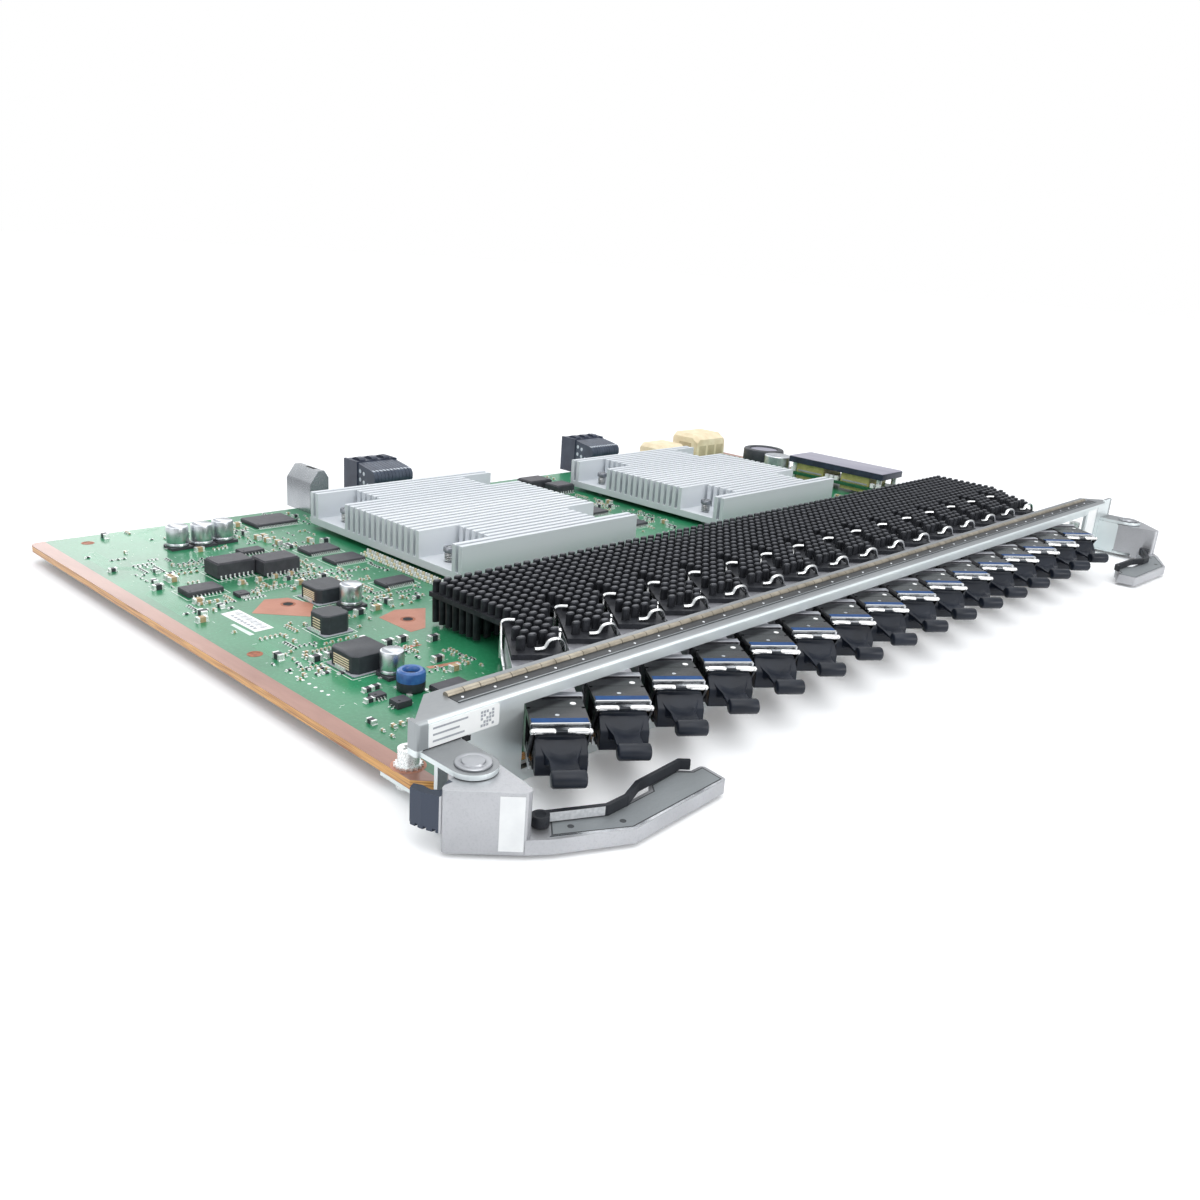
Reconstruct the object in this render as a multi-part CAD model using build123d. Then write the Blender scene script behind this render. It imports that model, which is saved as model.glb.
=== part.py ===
from build123d import *
from math import atan2, cos, degrees, radians, sin
import os

# A sixteen port optical line card, lying flat with its components up.
# While it is built, X runs along the front panel from its left end, Y runs back
# from the panel's front face and Z is up from the panel's lower edge.
# All sizes are millimetres.

# Front panel, one folded steel sheet
PANEL_LENGTH = 404.4
PANEL_HEIGHT = 23.3
PANEL_SHEET = 1.2
TOP_FLANGE_DEPTH = 11.5
LOWER_LIP_DEPTH = 4.5
WINDOW_LEFT = 28.0
WINDOW_RIGHT_MARGIN = 29.2
WINDOW_LOW = 3.1
WINDOW_HIGH = 19.8
EAR_LEFT = 1.4
EAR_LENGTH = 15.0
EAR_DEPTH = 18.0
END_BEND = 2.2
END_RETURN_DEPTH = 3.2
END_NOTCH_LENGTH = 3.5
END_NOTCH_TOP = 15.3
FLANGE_END_CUT = 10.4
FOLD_RADIUS = 1.0
END_TAB_LENGTH = 9.0
END_TAB_TOP = 24.6

# Circuit board
BOARD_THICKNESS = 2.4
BOARD_TOP = 6.5
BOARD_SIDE_MARGIN = 1.2
BOARD_FRONT = 1.7
BOARD_BACK = 230.3
BOARD_CORNER = 3.0
BOARD_FRONT_CHAMFER = 5.0
TOOLING_HOLE_RADIUS = 1.6

# Ports, set at a slant to the panel
PORT_COUNT = 16
PORT_PITCH = 20.65
FIRST_PORT_X = 37.28
PORT_ANGLE = 36.3

# Transceiver: a body in the cage and a taller nose in front of the panel
MODULE_WIDTH = 13.4
MODULE_BODY_HEIGHT = 8.4
MODULE_BODY_BACK = 46.0
NOSE_WIDTH = 13.7
NOSE_FRONT = -13.3
NOSE_BACK = 1.0
NOSE_LOW = 7.0
NOSE_HIGH = 18.3
PORT_SOCKET_WIDTH = 9.4
PORT_SOCKET_HEIGHT = 7.4
PORT_SOCKET_DEPTH = 9.0
PORT_SOCKET_MID_Z = 11.9

# Cage
CAGE_WALL = 0.3
CAGE_CLEARANCE = 0.15
CAGE_FRONT = 1.2
CAGE_BACK = 48.0
CAGE_COLLAR_DEPTH = 2.2
CAGE_COLLAR_WALL = 0.35
CAGE_TOP_OPENING = (34.0, 45.5, 10.0)

# Bail latch on each transceiver
BAIL_SHEET = 0.7
BAIL_BAR_DEPTH = 1.3
BAIL_BAR_HEIGHT = 1.5
BAIL_PIVOT_Y = -8.0
BAIL_PIVOT_Z = 9.5
BAIL_PIN_RADIUS = 0.9
BAIL_RUNNING_CLEARANCE = 0.05
BAIL_GAP = 0.15
BAIL_POCKET_BACK = -5.0
BAIL_NOTCH_WIDTH = 2.6
BAIL_NOTCH_HEIGHT = 0.8

# Dust plug in each transceiver
PLUG_GAP = 0.15
PLUG_FLANGE = 1.4
PLUG_FLANGE_WIDTH = 11.8
PLUG_FLANGE_LOW = 7.3
PLUG_FLANGE_HIGH = 16.0
PLUG_STEM_LENGTH = 8.0
PLUG_TONGUE_WIDTH = 7.8
PLUG_TONGUE_REACH = 15.3
PLUG_LIP_RADIUS = 2.0
PLUG_LIP_MID_Z = 12.4

# Heat sinks of the ports: a plate with fins over and behind the cages
PORT_SINK_PLATE = 1.5
PORT_SINK_TOP = 21.0
PORT_SINK_FRONT = 31.0
PORT_SINK_FRONT_WIDTH = 14.0
PORT_SINK_BACK_Y = 83.5
PORT_SINK_LEFT = 27.4
PORT_SINK_GAP = 0.4
PORT_FIN_PITCH = 4.7
PORT_FIN_THICKNESS = 2.2
PORT_FIN_FLOOR_GAP = 1.0
PORT_FIN_BEHIND_CAGE = 60.0

# Spring clip over each port heat sink
CLIP_STRIP = 0.9
CLIP_SIDE_GAP = 0.15
CLIP_REAR_ARM = 57.0
CLIP_FRONT_ARM = 37.2
CLIP_LOW = 10.4

# Large finned heat sinks
SINK_LENGTH = 88.5
SINK_DEPTH = 94.1
SINK_LEFT_EDGES = (95.5, 240.5)
SINK_FRONT_Y = 105.6
SINK_BASE = 3.0
SINK_TOP = 21.3
SINK_FIN_PITCH = 3.41
SINK_FIN_THICKNESS = 2.0
SINK_POCKET_LENGTH = 17.0
SINK_POCKET_DEPTH = 15.0
SINK_POCKET_INSET = 7.3
SINK_SCREW_INSET = 6.8
SINK_SCREW_CLEARANCE = 0.1
PROCESSOR_SIZE = 35.0
PROCESSOR_HEIGHT = 2.0
SINK_SCREW_RADIUS = 1.4
SINK_SCREW_HEAD_RADIUS = 2.4
SINK_SCREW_HEAD_HEIGHT = 1.8
SINK_SCREW_FREE_LENGTH = 3.6
SINK_SCREW_TIP = 1.2
SINK_SPRING_RADIUS = 2.1

# Ejector levers, the left one described; the right one is its mirror image
LEVER_LOW = 1.0
LEVER_HIGH = 15.2
LEVER_PLATE = 1.8
LEVER_ARM_THICKNESS = 3.5
LEVER_CORNER = 1.2
LEVER_PIVOT_X = 4.2
LEVER_PIVOT_Y = -10.8
LEVER_PIN_RADIUS = 2.2
LEVER_RUNNING_CLEARANCE = 0.05
LEVER_EYE_RADIUS = 5.2
LEVER_EYE_LOW = 2.7
JAW_LOW = 4.6
JAW_HIGH = 13.0
JAW_TOOTH = 0.7
LUG_RADIUS = 5.4
LUG_SWING_GAP = 2.4
LUG_CLEARANCE = 0.2
RIVET_HEAD_RADIUS = 4.6
RIVET_HEAD_HEIGHT = 0.6
RIVET_DOME_RADIUS = 2.7
RIVET_DOME_HEIGHT = 0.4
RIVET_FOOT_RADIUS = 3.6
RIVET_FOOT_HEIGHT = 0.6
TRIGGER_POST = (12.6, -22.9)
TRIGGER_POST_RADIUS = 1.2
TRIGGER_BOSS_RADIUS = 2.0
TRIGGER_LOW_GAP = 0.2
TRIGGER_HEIGHT = 2.4
TRIGGER_SHEET = 1.1

# Panel screws
SCREW_RADIUS = 1.5
SCREW_HEAD_RADIUS = 2.5
SCREW_HEAD_HEIGHT = 3.6
SCREW_WASHER_RADIUS = 3.0
SCREW_WASHER = 0.8
SCREW_PLACE = (5.0, 12.4)
CLINCH_NUT_RADIUS = 2.8
CLINCH_NUT_HEIGHT = 1.5

# Rear connectors, from the board's back edge
CONNECTOR_OVERHANG = 8.5
BACKPLANE_SPANS = ((136.4, 157.5), (271.5, 292.6))
CONNECTOR_TOP = 24.2
CONNECTOR_HOUSING_DEPTH = 9.0
CONNECTOR_DEPTH = 23.0
CONNECTOR_SLOPE_START = 10.3
CONNECTOR_FRONT_DROP = 3.6
CONNECTOR_BAY_LENGTH = 6.2
GUIDE_LEFT = 107.0
GUIDE_WIDTH = 8.8
GUIDE_DEPTH = 18.6
GUIDE_TOP = 24.3
GUIDE_BORE_RADIUS = 2.6
GUIDE_BORE_DEPTH = 14.0
GUIDE_BORE_HEIGHT = 8.4
POWER_ROOF_CUT = 1.6
POWER_BLADE_PITCH = 6.3
POWER_SPANS = ((334.8, 355.7, 16.4), (364.2, 390.2, 20.8))

# Power converter block on legs
BRICK_LEFT = 369.5
BRICK_WIDTH = 21.5
BRICK_FRONT_Y = 101.5
BRICK_DEPTH = 57.9
BRICK_TOP = 20.0
BRICK_PLATE = 3.4
BRICK_BOARD_LIFT = 3.6
BRICK_BOARD = 1.6

# Round choke
ROUND_CHOKE_PLACE = (385.0, 187.0)
ROUND_CHOKE_RADIUS = 11.5
ROUND_CHOKE_HEIGHT = 11.2

# Gasket on the top flange
GASKET_LEFT = 11.4
GASKET_RIGHT_MARGIN = 9.6

board_bottom = BOARD_TOP - BOARD_THICKNESS
slant = radians(PORT_ANGLE)
cage_inner_width = MODULE_WIDTH + 2 * CAGE_CLEARANCE
cage_outer_width = cage_inner_width + 2 * CAGE_WALL
module_low = BOARD_TOP + CAGE_WALL + CAGE_CLEARANCE
module_high = module_low + MODULE_BODY_HEIGHT
cage_high = module_high + CAGE_CLEARANCE + CAGE_WALL
port_plate_high = cage_high + PORT_SINK_PLATE
window_right = PANEL_LENGTH - WINDOW_RIGHT_MARGIN
processor_top = BOARD_TOP + PROCESSOR_HEIGHT
upper_lug_low = LEVER_HIGH + LUG_CLEARANCE
lower_lug_low = LEVER_EYE_LOW - LUG_CLEARANCE - PANEL_SHEET


def block(x0, x1, y0, y1, z0, z1):
    """A box between two corners."""
    size = (x1 - x0, y1 - y0, z1 - z0)
    return Pos((x0 + x1) / 2, (y0 + y1) / 2, (z0 + z1) / 2) * Box(*size)


def slab(points, z0, z1):
    """An outline in plan, drawn up from z0 to z1."""
    return Pos(0, 0, z0) * extrude(make_face(Polyline(*points, close=True)), z1 - z0)


def side_slab(points, x0, x1):
    """An outline of (y, z) points, drawn along X from x0 to x1."""
    outline = Plane.YZ * Polyline(*points, close=True)
    return Pos(x0, 0, 0) * extrude(make_face(outline), x1 - x0, dir=(1, 0, 0))


def front_slab(points, y0, y1):
    """An outline of (x, z) points, drawn along Y from y0 to y1."""
    outline = Polyline(*[(x, 0, z) for x, z in points], close=True)
    return Pos(0, y0, 0) * extrude(make_face(outline), y1 - y0, dir=(0, 1, 0))


def upright(x, y, z0, z1, radius):
    """A round post standing at x, y."""
    return Pos(x, y, (z0 + z1) / 2) * Cylinder(radius, z1 - z0)


def port_place(index):
    """Where port number index stands: local Y runs back along the slanted cage."""
    return Location((FIRST_PORT_X + index * PORT_PITCH, 0, 0), (0, 0, -PORT_ANGLE))


def at_every_port(shape):
    """One copy of a piece at each port."""
    return [port_place(index) * shape for index in range(PORT_COUNT)]


def mirrored(shape):
    """The right hand copy of a piece at the left end of the panel."""
    return mirror(shape, about=Plane.YZ.offset(PANEL_LENGTH / 2))


def circuit_board():
    left = BOARD_SIDE_MARGIN
    right = PANEL_LENGTH - BOARD_SIDE_MARGIN
    cut = BOARD_FRONT_CHAMFER
    outline = [(left + cut, BOARD_FRONT), (right - cut, BOARD_FRONT), (right, BOARD_FRONT + cut),
               (right, BOARD_BACK), (left, BOARD_BACK), (left, BOARD_FRONT + cut)]
    board = slab(outline, board_bottom, BOARD_TOP)
    back_corners = board.edges().filter_by(Axis.Z).sort_by(Axis.Y)[-2:]
    board = fillet(back_corners, BOARD_CORNER)
    holes = [upright(x, y, board_bottom, BOARD_TOP, TOOLING_HOLE_RADIUS) for x, y in tooling_holes()]
    holes += [upright(x, y, board_bottom, BOARD_TOP, SCREW_RADIUS) for x, y in screw_places()]
    holes += [upright(x, y, board_bottom, BOARD_TOP, SINK_SCREW_RADIUS) for x, y in sink_screw_places()]
    return board - holes


def tooling_holes():
    left = BOARD_SIDE_MARGIN
    return [(left + 16.6, BOARD_BACK - 9.1), (left + 10.2, 91.6), (left + 39.3, 123.6), (left + 61.5, 91.0)]


def screw_places():
    x, y = SCREW_PLACE
    return [(x, y), (PANEL_LENGTH - x, y)]


def sink_screw_places():
    places = []
    inset_y = SINK_POCKET_INSET + SINK_POCKET_DEPTH / 2
    for left in SINK_LEFT_EDGES:
        for x in (left + SINK_SCREW_INSET, left + SINK_LENGTH - SINK_SCREW_INSET):
            for y in (SINK_FRONT_Y + inset_y, SINK_FRONT_Y + SINK_DEPTH - inset_y):
                places.append((x, y))
    return places


def front_panel():
    """The folded sheet: a face, a top flange cut off at its corners, a lower lip and two ends."""
    sheet = PANEL_SHEET
    left = -END_BEND
    right = PANEL_LENGTH + END_BEND
    wall = block(left, right, 0, sheet, 0, PANEL_HEIGHT)
    wall -= block(WINDOW_LEFT, window_right, 0, sheet, WINDOW_LOW, WINDOW_HIGH)
    cut = FLANGE_END_CUT
    corner = TOP_FLANGE_DEPTH - cut
    flange = slab([(left, 0), (right, 0), (right, corner), (right - cut, TOP_FLANGE_DEPTH),
                   (left + cut, TOP_FLANGE_DEPTH), (left, corner)], PANEL_HEIGHT - sheet, PANEL_HEIGHT)
    lip = block(left, right, 0, LOWER_LIP_DEPTH, 0, sheet)
    end_return = block(left, left + sheet, 0, END_RETURN_DEPTH, 0, PANEL_HEIGHT)
    panel = wall + flange + lip + end_return + mirrored(end_return)
    panel = fillet(outer_folds(panel), FOLD_RADIUS)
    ear = block(EAR_LEFT, EAR_LENGTH, 0, EAR_DEPTH, board_bottom - sheet, board_bottom)
    ear -= upright(*SCREW_PLACE, board_bottom - sheet, board_bottom, SCREW_RADIUS)
    notch = block(left, END_NOTCH_LENGTH, 0, LOWER_LIP_DEPTH, 0, END_NOTCH_TOP)
    panel = panel + ear + mirrored(ear) - notch - mirrored(notch)
    tab = block(right - END_TAB_LENGTH, right - FOLD_RADIUS, 0, sheet, PANEL_HEIGHT - sheet, END_TAB_TOP)
    tab = fillet(tab.edges().filter_by(Axis.Y).group_by(Axis.Z)[-1], FOLD_RADIUS)
    lugs = lever_lugs()
    return panel + tab + lugs + mirrored(lugs)


def outer_folds(panel):
    """The panel's outer edges where the sheet is folded: along the top and up both ends."""
    front_edges = panel.edges().filter_by_position(Axis.Y, -0.01, 0.01)
    along_top = front_edges.filter_by(Axis.X).group_by(Axis.Z)[-1]
    ends = front_edges.filter_by(Axis.Z).group_by(Axis.X)
    return along_top + ends[0] + ends[-1]


def lever_lugs():
    """Two lugs folded out of the panel, over and under the lever's eye, with the rivet's hole."""
    lugs = []
    for low in (lower_lug_low, upper_lug_low):
        high = low + PANEL_SHEET
        lug = upright(LEVER_PIVOT_X, LEVER_PIVOT_Y, low, high, LUG_RADIUS)
        lug += block(LEVER_PIVOT_X - LUG_RADIUS, LEVER_PIVOT_X + LUG_RADIUS, LEVER_PIVOT_Y, PANEL_SHEET, low, high)
        lugs.append(lug - upright(LEVER_PIVOT_X, LEVER_PIVOT_Y, low, high, LEVER_PIN_RADIUS))
    return lugs[0] + lugs[1]


def emi_gasket():
    """The spring finger strip clipped on the top flange: a flat foot and a raised bead."""
    z = PANEL_HEIGHT
    foot = [(3.2, z), (10.6, z), (10.6, z + 0.9), (9.8, z + 1.5), (8.0, z + 1.5), (7.2, z + 0.9), (6.8, z + 0.35),
            (3.2, z + 0.35)]
    return side_slab(foot, GASKET_LEFT, PANEL_LENGTH - GASKET_RIGHT_MARGIN)


def ejector_lever():
    """The left lever: a hollow head, an eye on the rivet, a toothed jaw and a long flat arm."""
    x, y = LEVER_PIVOT_X, LEVER_PIVOT_Y
    plate = LEVER_PLATE
    head_outline = [(-6.7, -13.6), (6.1, -25.5), (8.2, -25.2), (9.0, -21.0), (10.4, -9.0), (x, y), (-2.3, -11.0)]
    inner = [(-5.0, -12.9), (6.1, -23.1), (7.0, -21.0), (8.0, -9.0), (x, y), (-2.6, -11.2)]
    head = slab(head_outline, LEVER_LOW, LEVER_HIGH)
    corners = head.edges().filter_by(Axis.Z).sort_by(Axis.Y)[:2] + head.edges().filter_by(Axis.Z).sort_by(Axis.X)[:1]
    head = fillet(corners, LEVER_CORNER)
    head -= slab(inner, LEVER_LOW + plate, LEVER_HIGH - plate)
    sweep = LUG_RADIUS + LUG_SWING_GAP
    head -= upright(x, y, LEVER_LOW, LEVER_EYE_LOW, sweep)
    eye = upright(x, y, LEVER_EYE_LOW, LEVER_HIGH, LEVER_EYE_RADIUS)
    eye += slab([(x - 4.6, y - 2.4), (x + 4.6, y - 2.4), (7.6, -22.4), (3.0, -20.4)], LEVER_EYE_LOW, LEVER_HIGH)
    arm_outline = [(6.1, -25.5), (10.9, -28.9), (27.4, -36.9), (60.4, -35.4), (61.4, -27.2), (57.1, -27.4),
                   (54.0, -24.6), (44.0, -25.5), (42.2, -27.5), (26.8, -28.2), (15.4, -21.9), (9.0, -19.2)]
    arm = slab(arm_outline, LEVER_LOW, LEVER_LOW + LEVER_ARM_THICKNESS)
    arm = fillet(arm.edges().filter_by(Axis.Z).sort_by(Axis.X)[-2:], LEVER_CORNER)
    post_top = LEVER_LOW + LEVER_ARM_THICKNESS + TRIGGER_LOW_GAP + TRIGGER_HEIGHT
    post = upright(*TRIGGER_POST, LEVER_LOW, post_top, TRIGGER_POST_RADIUS)
    lever = head + eye + arm + lever_jaw() + post
    bore = LEVER_PIN_RADIUS + LEVER_RUNNING_CLEARANCE
    return lever - upright(x, y, LEVER_LOW, LEVER_HIGH, bore)


def lever_jaw():
    """The claw that pries against the rack, with teeth cut along its lower edge."""
    outline = [(-5.6, -12.9), (-7.4, -8.6), (-8.0, -5.6), (-6.4, -4.6), (-5.4, -6.4), (-5.2, -9.0), (-2.6, -11.2)]
    jaw = slab(outline, JAW_LOW, JAW_HIGH)
    for y in (-11.4, -9.4, -7.4, -5.4):
        jaw -= block(-9.0, -3.6, y - JAW_TOOTH / 2, y + JAW_TOOTH / 2, JAW_LOW, JAW_LOW + JAW_TOOTH)
    return jaw


def release_trigger():
    """The sprung strip inside the lever's arm, which the finger squeezes to unlock it."""
    low = LEVER_LOW + LEVER_ARM_THICKNESS + TRIGGER_LOW_GAP
    high = low + TRIGGER_HEIGHT
    x, y = TRIGGER_POST
    line = [(x, y + 1.0), (26.6, -28.9), (32.8, -28.7), (39.2, -26.1), (55.2, -25.0), (57.0, -26.6)]
    strip = None
    for start, end in zip(line, line[1:]):
        run = strip_run(start, end, TRIGGER_SHEET, low, high)
        strip = run if strip is None else strip + run
    boss = upright(x, y, low, high, TRIGGER_BOSS_RADIUS)
    bore = upright(x, y, low, high, TRIGGER_POST_RADIUS + LEVER_RUNNING_CLEARANCE)
    return (strip + boss) - bore


def strip_run(start, end, width, z0, z1):
    """One straight run of a strip on edge, its ends rounded off by the next run."""
    dx = end[0] - start[0]
    dy = end[1] - start[1]
    length = (dx * dx + dy * dy) ** 0.5 + width * 0.5
    mid = ((start[0] + end[0]) / 2, (start[1] + end[1]) / 2, (z0 + z1) / 2)
    return Location(mid, (0, 0, degrees(atan2(dy, dx)))) * Box(length, width, z1 - z0)


def pivot_rivet():
    x, y = LEVER_PIVOT_X, LEVER_PIVOT_Y
    top = upper_lug_low + PANEL_SHEET
    shank = upright(x, y, lower_lug_low, top, LEVER_PIN_RADIUS)
    head = upright(x, y, top, top + RIVET_HEAD_HEIGHT, RIVET_HEAD_RADIUS)
    dome_low = top + RIVET_HEAD_HEIGHT
    dome = upright(x, y, dome_low, dome_low + RIVET_DOME_HEIGHT, RIVET_DOME_RADIUS)
    foot = upright(x, y, lower_lug_low - RIVET_FOOT_HEIGHT, lower_lug_low, RIVET_FOOT_RADIUS)
    return shank + head + dome + foot


def panel_screw():
    """The screw that clamps the board to the panel's ear, with its washer and clinch nut."""
    x, y = SCREW_PLACE
    nut_low = board_bottom - PANEL_SHEET - CLINCH_NUT_HEIGHT
    top = BOARD_TOP + SCREW_WASHER + SCREW_HEAD_HEIGHT
    screw = upright(x, y, nut_low, BOARD_TOP, SCREW_RADIUS)
    screw += upright(x, y, BOARD_TOP, BOARD_TOP + SCREW_WASHER, SCREW_WASHER_RADIUS)
    screw += upright(x, y, BOARD_TOP + SCREW_WASHER, top, SCREW_HEAD_RADIUS)
    recess = Pos(x, y, top - 0.5) * (Box(2.9, 0.8, 1.0) + Box(0.8, 2.9, 1.0))
    nut = upright(x, y, nut_low, board_bottom - PANEL_SHEET, CLINCH_NUT_RADIUS)
    return screw - recess + nut


def transceiver_cage():
    half = cage_outer_width / 2
    inner = cage_inner_width / 2
    cage = block(-half, half, CAGE_FRONT, CAGE_BACK, BOARD_TOP, cage_high)
    cage -= block(-inner, inner, CAGE_FRONT, CAGE_BACK - CAGE_WALL, BOARD_TOP + CAGE_WALL, cage_high - CAGE_WALL)
    y0, y1, width = CAGE_TOP_OPENING
    cage -= block(-width / 2, width / 2, y0, y1, cage_high - CAGE_WALL, cage_high)
    collar_inner = NOSE_WIDTH / 2 + CAGE_CLEARANCE
    collar_outer = collar_inner + CAGE_COLLAR_WALL
    top = NOSE_HIGH + CAGE_CLEARANCE
    front = CAGE_FRONT
    back = CAGE_FRONT + CAGE_COLLAR_DEPTH
    collar = block(-collar_outer, collar_outer, front, back, BOARD_TOP, top + CAGE_COLLAR_WALL)
    collar -= block(-collar_inner, collar_inner, front, back - CAGE_WALL, BOARD_TOP + CAGE_WALL, top)
    collar -= block(-inner, inner, front, back, BOARD_TOP + CAGE_WALL, cage_high - CAGE_WALL)
    return cage + collar


def transceiver():
    half = NOSE_WIDTH / 2
    body = block(-MODULE_WIDTH / 2, MODULE_WIDTH / 2, NOSE_BACK, MODULE_BODY_BACK, module_low, module_high)
    nose = block(-half, half, NOSE_FRONT, NOSE_BACK, NOSE_LOW, NOSE_HIGH)
    top_front = nose.edges().filter_by(Axis.X).group_by(Axis.Y)[0].sort_by(Axis.Z)[-1]
    nose = chamfer(top_front, 0.6)
    socket_half = PORT_SOCKET_WIDTH / 2
    socket_low = PORT_SOCKET_MID_Z - PORT_SOCKET_HEIGHT / 2
    nose -= block(-socket_half, socket_half, NOSE_FRONT, NOSE_FRONT + PORT_SOCKET_DEPTH, socket_low,
                  socket_low + PORT_SOCKET_HEIGHT)
    pocket = BAIL_SHEET + BAIL_GAP
    high = NOSE_HIGH - BAIL_BAR_HEIGHT
    for side in (-1, 1):
        edges = sorted((side * half, side * (half - pocket)))
        nose -= block(*edges, NOSE_FRONT, BAIL_POCKET_BACK, NOSE_LOW, high)
    for side in (-1, 1):
        pin_mid = side * (half - pocket / 2)
        nose += Pos(pin_mid, BAIL_PIVOT_Y, BAIL_PIVOT_Z) * Rot(0, 90, 0) * Cylinder(BAIL_PIN_RADIUS, pocket)
    return nose + body


def bail_latch():
    """A sheet steel bail: a bar across the top of the nose and an arm down each side."""
    half = NOSE_WIDTH / 2
    bar_back = NOSE_FRONT - 1.6
    bar_front = bar_back - BAIL_BAR_DEPTH
    bar_low = NOSE_HIGH - 0.2 - BAIL_BAR_HEIGHT
    bar_high = NOSE_HIGH - 0.2
    bail = block(-half, half, bar_front, bar_back, bar_low, bar_high)
    notch = BAIL_NOTCH_WIDTH / 2
    bail -= block(-notch, notch, bar_front, bar_back, bar_low, bar_low + BAIL_NOTCH_HEIGHT)
    eye = BAIL_PIN_RADIUS + 0.9
    arm = [(bar_front, bar_low + 0.8), (bar_back, bar_high), (BAIL_PIVOT_Y + eye * 0.6, BAIL_PIVOT_Z + eye * 0.8),
           (BAIL_PIVOT_Y - eye * 0.6, BAIL_PIVOT_Z - eye * 0.8)]
    for x0 in (-half, half - BAIL_SHEET):
        side = side_slab(arm, x0, x0 + BAIL_SHEET)
        mid = (x0 + BAIL_SHEET / 2, BAIL_PIVOT_Y, BAIL_PIVOT_Z)
        side += Pos(mid) * Rot(0, 90, 0) * Cylinder(eye, BAIL_SHEET)
        bail += side
    bore = BAIL_PIN_RADIUS + BAIL_RUNNING_CLEARANCE
    return bail - Pos(0, BAIL_PIVOT_Y, BAIL_PIVOT_Z) * Rot(0, 90, 0) * Cylinder(bore, NOSE_WIDTH)


def dust_plug():
    """A moulded plug: a stem in the socket, a flange and a scooped tongue with a rolled lip."""
    seat = NOSE_FRONT - PLUG_GAP
    front = seat - PLUG_FLANGE
    half = PLUG_FLANGE_WIDTH / 2
    stem_half = PORT_SOCKET_WIDTH / 2 - PLUG_GAP
    stem_low = PORT_SOCKET_MID_Z - PORT_SOCKET_HEIGHT / 2 + PLUG_GAP
    stem_high = PORT_SOCKET_MID_Z + PORT_SOCKET_HEIGHT / 2 - PLUG_GAP
    stem = block(-stem_half, stem_half, seat, seat + PLUG_STEM_LENGTH, stem_low, stem_high)
    flange = block(-half, half, front, seat, PLUG_FLANGE_LOW, PLUG_FLANGE_HIGH)
    lip_y = front - PLUG_TONGUE_REACH + PLUG_LIP_RADIUS
    root_high = PLUG_FLANGE_HIGH - 1.0
    floor = PLUG_LIP_MID_Z + 0.2
    scoop = Spline((front, root_high), (front - 2.8, floor + 0.7), (lip_y + 2.5, floor - 0.2), (lip_y, floor + 1.0))
    under = PLUG_LIP_MID_Z - 1.2
    outline = scoop + Polyline((lip_y, floor + 1.0), (lip_y, under), (front - 3.0, under), (front, 9.0),
                               (front, root_high))
    tongue = extrude(make_face(Plane.YZ * outline), PLUG_TONGUE_WIDTH / 2, both=True)
    lip = Pos(0, lip_y, PLUG_LIP_MID_Z) * Rot(0, 90, 0) * Cylinder(PLUG_LIP_RADIUS, PLUG_TONGUE_WIDTH)
    return stem + flange + tongue + lip


def port_heat_sink():
    """Plate over the cage and straight back behind it, with rows of fins above and below.

    It is drawn in the board's own directions, with X from the port's place on the panel.
    """
    plan = port_sink_outline()
    plate = slab(plan, cage_high, port_plate_high)
    sink = plate
    rows = int((PORT_SINK_BACK_Y - PORT_FIN_BEHIND_CAGE) / PORT_FIN_PITCH) + 1
    left = PORT_SINK_LEFT + PORT_SINK_GAP / 2
    right = PORT_SINK_LEFT + PORT_PITCH - PORT_SINK_GAP / 2
    floor = BOARD_TOP + PORT_FIN_FLOOR_GAP
    for row in range(rows):
        back = PORT_SINK_BACK_Y - row * PORT_FIN_PITCH
        front = back - PORT_FIN_THICKNESS
        sink += block(left, right, front, back, port_plate_high, PORT_SINK_TOP)
        if front > PORT_FIN_BEHIND_CAGE + 1.5:
            sink += block(left, right, front, back, floor, cage_high)
    for start in (41.5, 47.5):
        middle = Location((0, 0, 0), (0, 0, -PORT_ANGLE))
        half = PORT_SINK_FRONT_WIDTH / 2
        sink += middle * block(-half, half, start, start + 3.0, port_plate_high, PORT_SINK_TOP)
    y0, y1, width = CAGE_TOP_OPENING
    foot = block(-width / 2 + 0.3, width / 2 - 0.3, y0 + 0.3, y1 - 0.3, module_high, cage_high)
    return sink + Location((0, 0, 0), (0, 0, -PORT_ANGLE)) * foot


def port_sink_outline():
    """Plan of a port heat sink: slanted over the cage, then straight back."""
    half = PORT_SINK_FRONT_WIDTH / 2
    left = PORT_SINK_LEFT + PORT_SINK_GAP / 2
    right = PORT_SINK_LEFT + PORT_PITCH - PORT_SINK_GAP / 2
    front_left = slanted(-half, PORT_SINK_FRONT)
    front_right = slanted(half, PORT_SINK_FRONT)
    right_join = (right, slant_y(half, right))
    left_join = (left, slant_y(-half, left))
    return [front_left, front_right, right_join, (right, PORT_SINK_BACK_Y), (left, PORT_SINK_BACK_Y), left_join]


def slanted(across, along):
    """A place in a port's own directions, given in the board's directions."""
    return (across * cos(slant) + along * sin(slant), along * cos(slant) - across * sin(slant))


def slant_y(across, x):
    """The board's Y where a line along the port, offset across, reaches the given X."""
    along = (x - across * cos(slant)) / sin(slant)
    return slanted(across, along)[1]


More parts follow.
